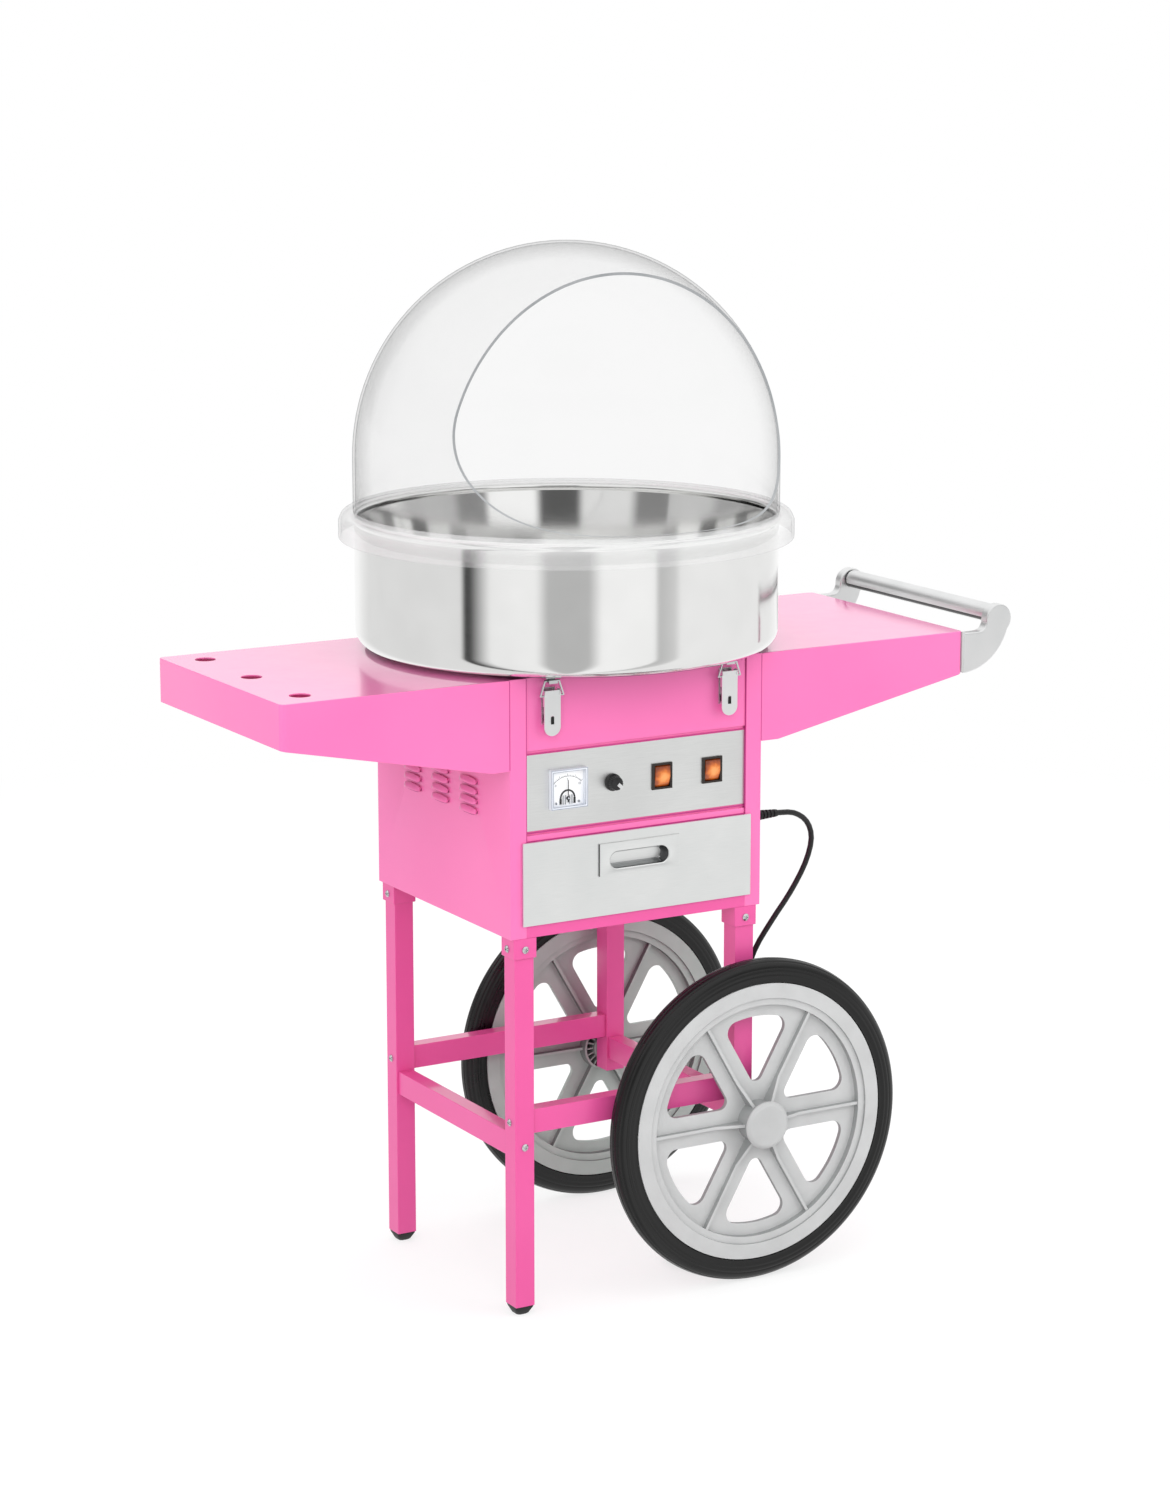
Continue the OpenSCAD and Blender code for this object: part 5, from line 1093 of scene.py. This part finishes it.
floorDisc = {"radius": 3.2, "shadowOut": 1.5, "diffuse": 0.3, "glow": 0.72}


def makeWorld(s):
    world = bpy.data.worlds.new("studioWorld")
    scene.world = world
    world.use_nodes = True
    tree = world.node_tree
    tree.nodes.clear()
    out = addNode(tree, "ShaderNodeOutputWorld")
    path = addNode(tree, "ShaderNodeLightPath")
    direction = addNode(tree, "ShaderNodeTexCoord").outputs["Generated"]
    split = addNode(tree, "ShaderNodeSeparateXYZ", {0: direction})
    angle = addNode(tree, "ShaderNodeMath", {0: split.outputs["Y"], 1: split.outputs["X"]},
                    operation="ARCTAN2").outputs[0]
    share = addNode(tree, "ShaderNodeMapRange", {"Value": angle, "From Min": -math.pi, "From Max": math.pi})
    # each card's angle from the camera's side as its share of the full turn
    rows = []
    for cards in (s["cards"], s["upper"]):
        stops = sorted((((a + s["towardsCamera"] + 180) / 360) % 1.0, level) for a, level in cards)
        rows.append(ramp(tree, share.outputs["Result"], stops))
    above = addNode(tree, "ShaderNodeMapRange", {"Value": split.outputs["Z"], "From Min": 0.01, "From Max": 0.05})
    strips = addNode(tree, "ShaderNodeMixRGB", {"Fac": above.outputs["Result"], "Color1": rows[0],
                                                "Color2": rows[1]}).outputs[0]
    # the cards end overhead, where all is white
    high = addNode(tree, "ShaderNodeMapRange", {"Value": split.outputs["Z"], "From Min": 0.3, "From Max": 0.55})
    banded = addNode(tree, "ShaderNodeMixRGB", {"Fac": high.outputs["Result"], "Color1": strips,
                                                "Color2": (1, 1, 1, 1)}).outputs[0]
    plain = addNode(tree, "ShaderNodeBackground", {"Color": (1, 1, 1, 1), "Strength": s["world"]}).outputs[0]
    white = addNode(tree, "ShaderNodeBackground", {"Color": (1, 1, 1, 1), "Strength": 1.0}).outputs[0]
    mirror = addNode(tree, "ShaderNodeBackground", {"Color": banded, "Strength": 1.0}).outputs[0]
    first = addNode(tree, "ShaderNodeMixShader", {0: path.outputs["Is Glossy Ray"], 1: plain, 2: mirror}).outputs[0]
    clear = addNode(tree, "ShaderNodeMath", {0: path.outputs["Is Camera Ray"], 1: path.outputs["Is Transmission Ray"]},
                    operation="MAXIMUM").outputs[0]
    last = addNode(tree, "ShaderNodeMixShader", {0: clear, 1: first, 2: white}).outputs[0]
    tree.links.new(last, out.inputs["Surface"])


def makeFloor(s):
    material = bpy.data.materials.new("paleFloor")
    material.use_nodes = True
    tree = material.node_tree
    tree.nodes.clear()
    out = addNode(tree, "ShaderNodeOutputMaterial")
    plain = addNode(tree, "ShaderNodeBsdfDiffuse", {"Color": (0.8, 0.8, 0.8, 1)}).outputs[0]
    soft = addNode(tree, "ShaderNodeBsdfDiffuse", {"Color": (s["diffuse"],) * 3 + (1,)}).outputs[0]
    glow = addNode(tree, "ShaderNodeEmission", {"Strength": s["glow"]}).outputs[0]
    lifted = addNode(tree, "ShaderNodeAddShader", {0: soft, 1: glow}).outputs[0]
    white = addNode(tree, "ShaderNodeEmission", {"Strength": 1.0}).outputs[0]
    # the shadow's ground fades to plain white well before the disc's edge
    place = addNode(tree, "ShaderNodeTexCoord").outputs["Object"]
    reach = addNode(tree, "ShaderNodeVectorMath", {0: place}, operation="LENGTH").outputs["Value"]
    fade = addNode(tree, "ShaderNodeMapRange", {"Value": reach, "From Min": s["shadowOut"],
                                                "From Max": s["radius"] - 0.2}).outputs["Result"]
    shown = addNode(tree, "ShaderNodeMixShader", {0: fade, 1: lifted, 2: white}).outputs[0]
    path = addNode(tree, "ShaderNodeLightPath")
    seen = addNode(tree, "ShaderNodeMath", {0: path.outputs["Is Camera Ray"], 1: path.outputs["Is Glossy Ray"]},
                   operation="MAXIMUM").outputs[0]
    seen = addNode(tree, "ShaderNodeMath", {0: seen, 1: path.outputs["Is Transmission Ray"]},
                   operation="MAXIMUM").outputs[0]
    mixed = addNode(tree, "ShaderNodeMixShader", {0: seen, 1: plain, 2: shown}).outputs[0]
    tree.links.new(mixed, out.inputs["Surface"])
    turn = np.linspace(0, 2 * math.pi, 96, endpoint=False)
    rim = np.c_[np.cos(turn), np.sin(turn), 0 * turn] * s["radius"]
    mesh = bpy.data.meshes.new("studioFloor")
    mesh.from_pydata(rim.tolist(), [], [list(range(96))])
    mesh.materials.append(material)
    floor = bpy.data.objects.new("studioFloor", mesh)
    scene.collection.objects.link(floor)
    # steel mirrors the cards below the horizon too, not the floor's edge
    floor.visible_glossy = False
    floor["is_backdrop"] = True


lamps = {
    "keyLamp": {"place": (-2.6, -3.8, 3.2), "size": 3.2, "power": 73},
    "topLamp": {"place": (0.2, 0.2, 3.6), "size": 3.0, "power": 50},
    "fillLamp": {"place": (2.8, -3.0, 2.0), "size": 3.0, "power": 46},
    "sideLamp": {"place": (-4.2, -0.6, 1.4), "size": 3.0, "power": 42},
}


def makeLamps(settings):
    for name, s in settings.items():
        data = bpy.data.lights.new(name, "AREA")
        data.shape, data.size, data.energy = "SQUARE", s["size"], s["power"]
        lamp = bpy.data.objects.new(name, data)
        scene.collection.objects.link(lamp)
        # the metal mirrors the soft cards of the world, not the lamps' own squares
        lamp.visible_glossy = False
        lamp.location = s["place"]
        lamp.rotation_euler = (Vector((cartX, 0, 0.7)) - Vector(s["place"])).to_track_quat("-Z", "Y").to_euler()


makeWorld(studio)
makeFloor(floorDisc)
makeLamps(lamps)
scene.view_settings.view_transform = "Standard"
print("studio lit")

low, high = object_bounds()
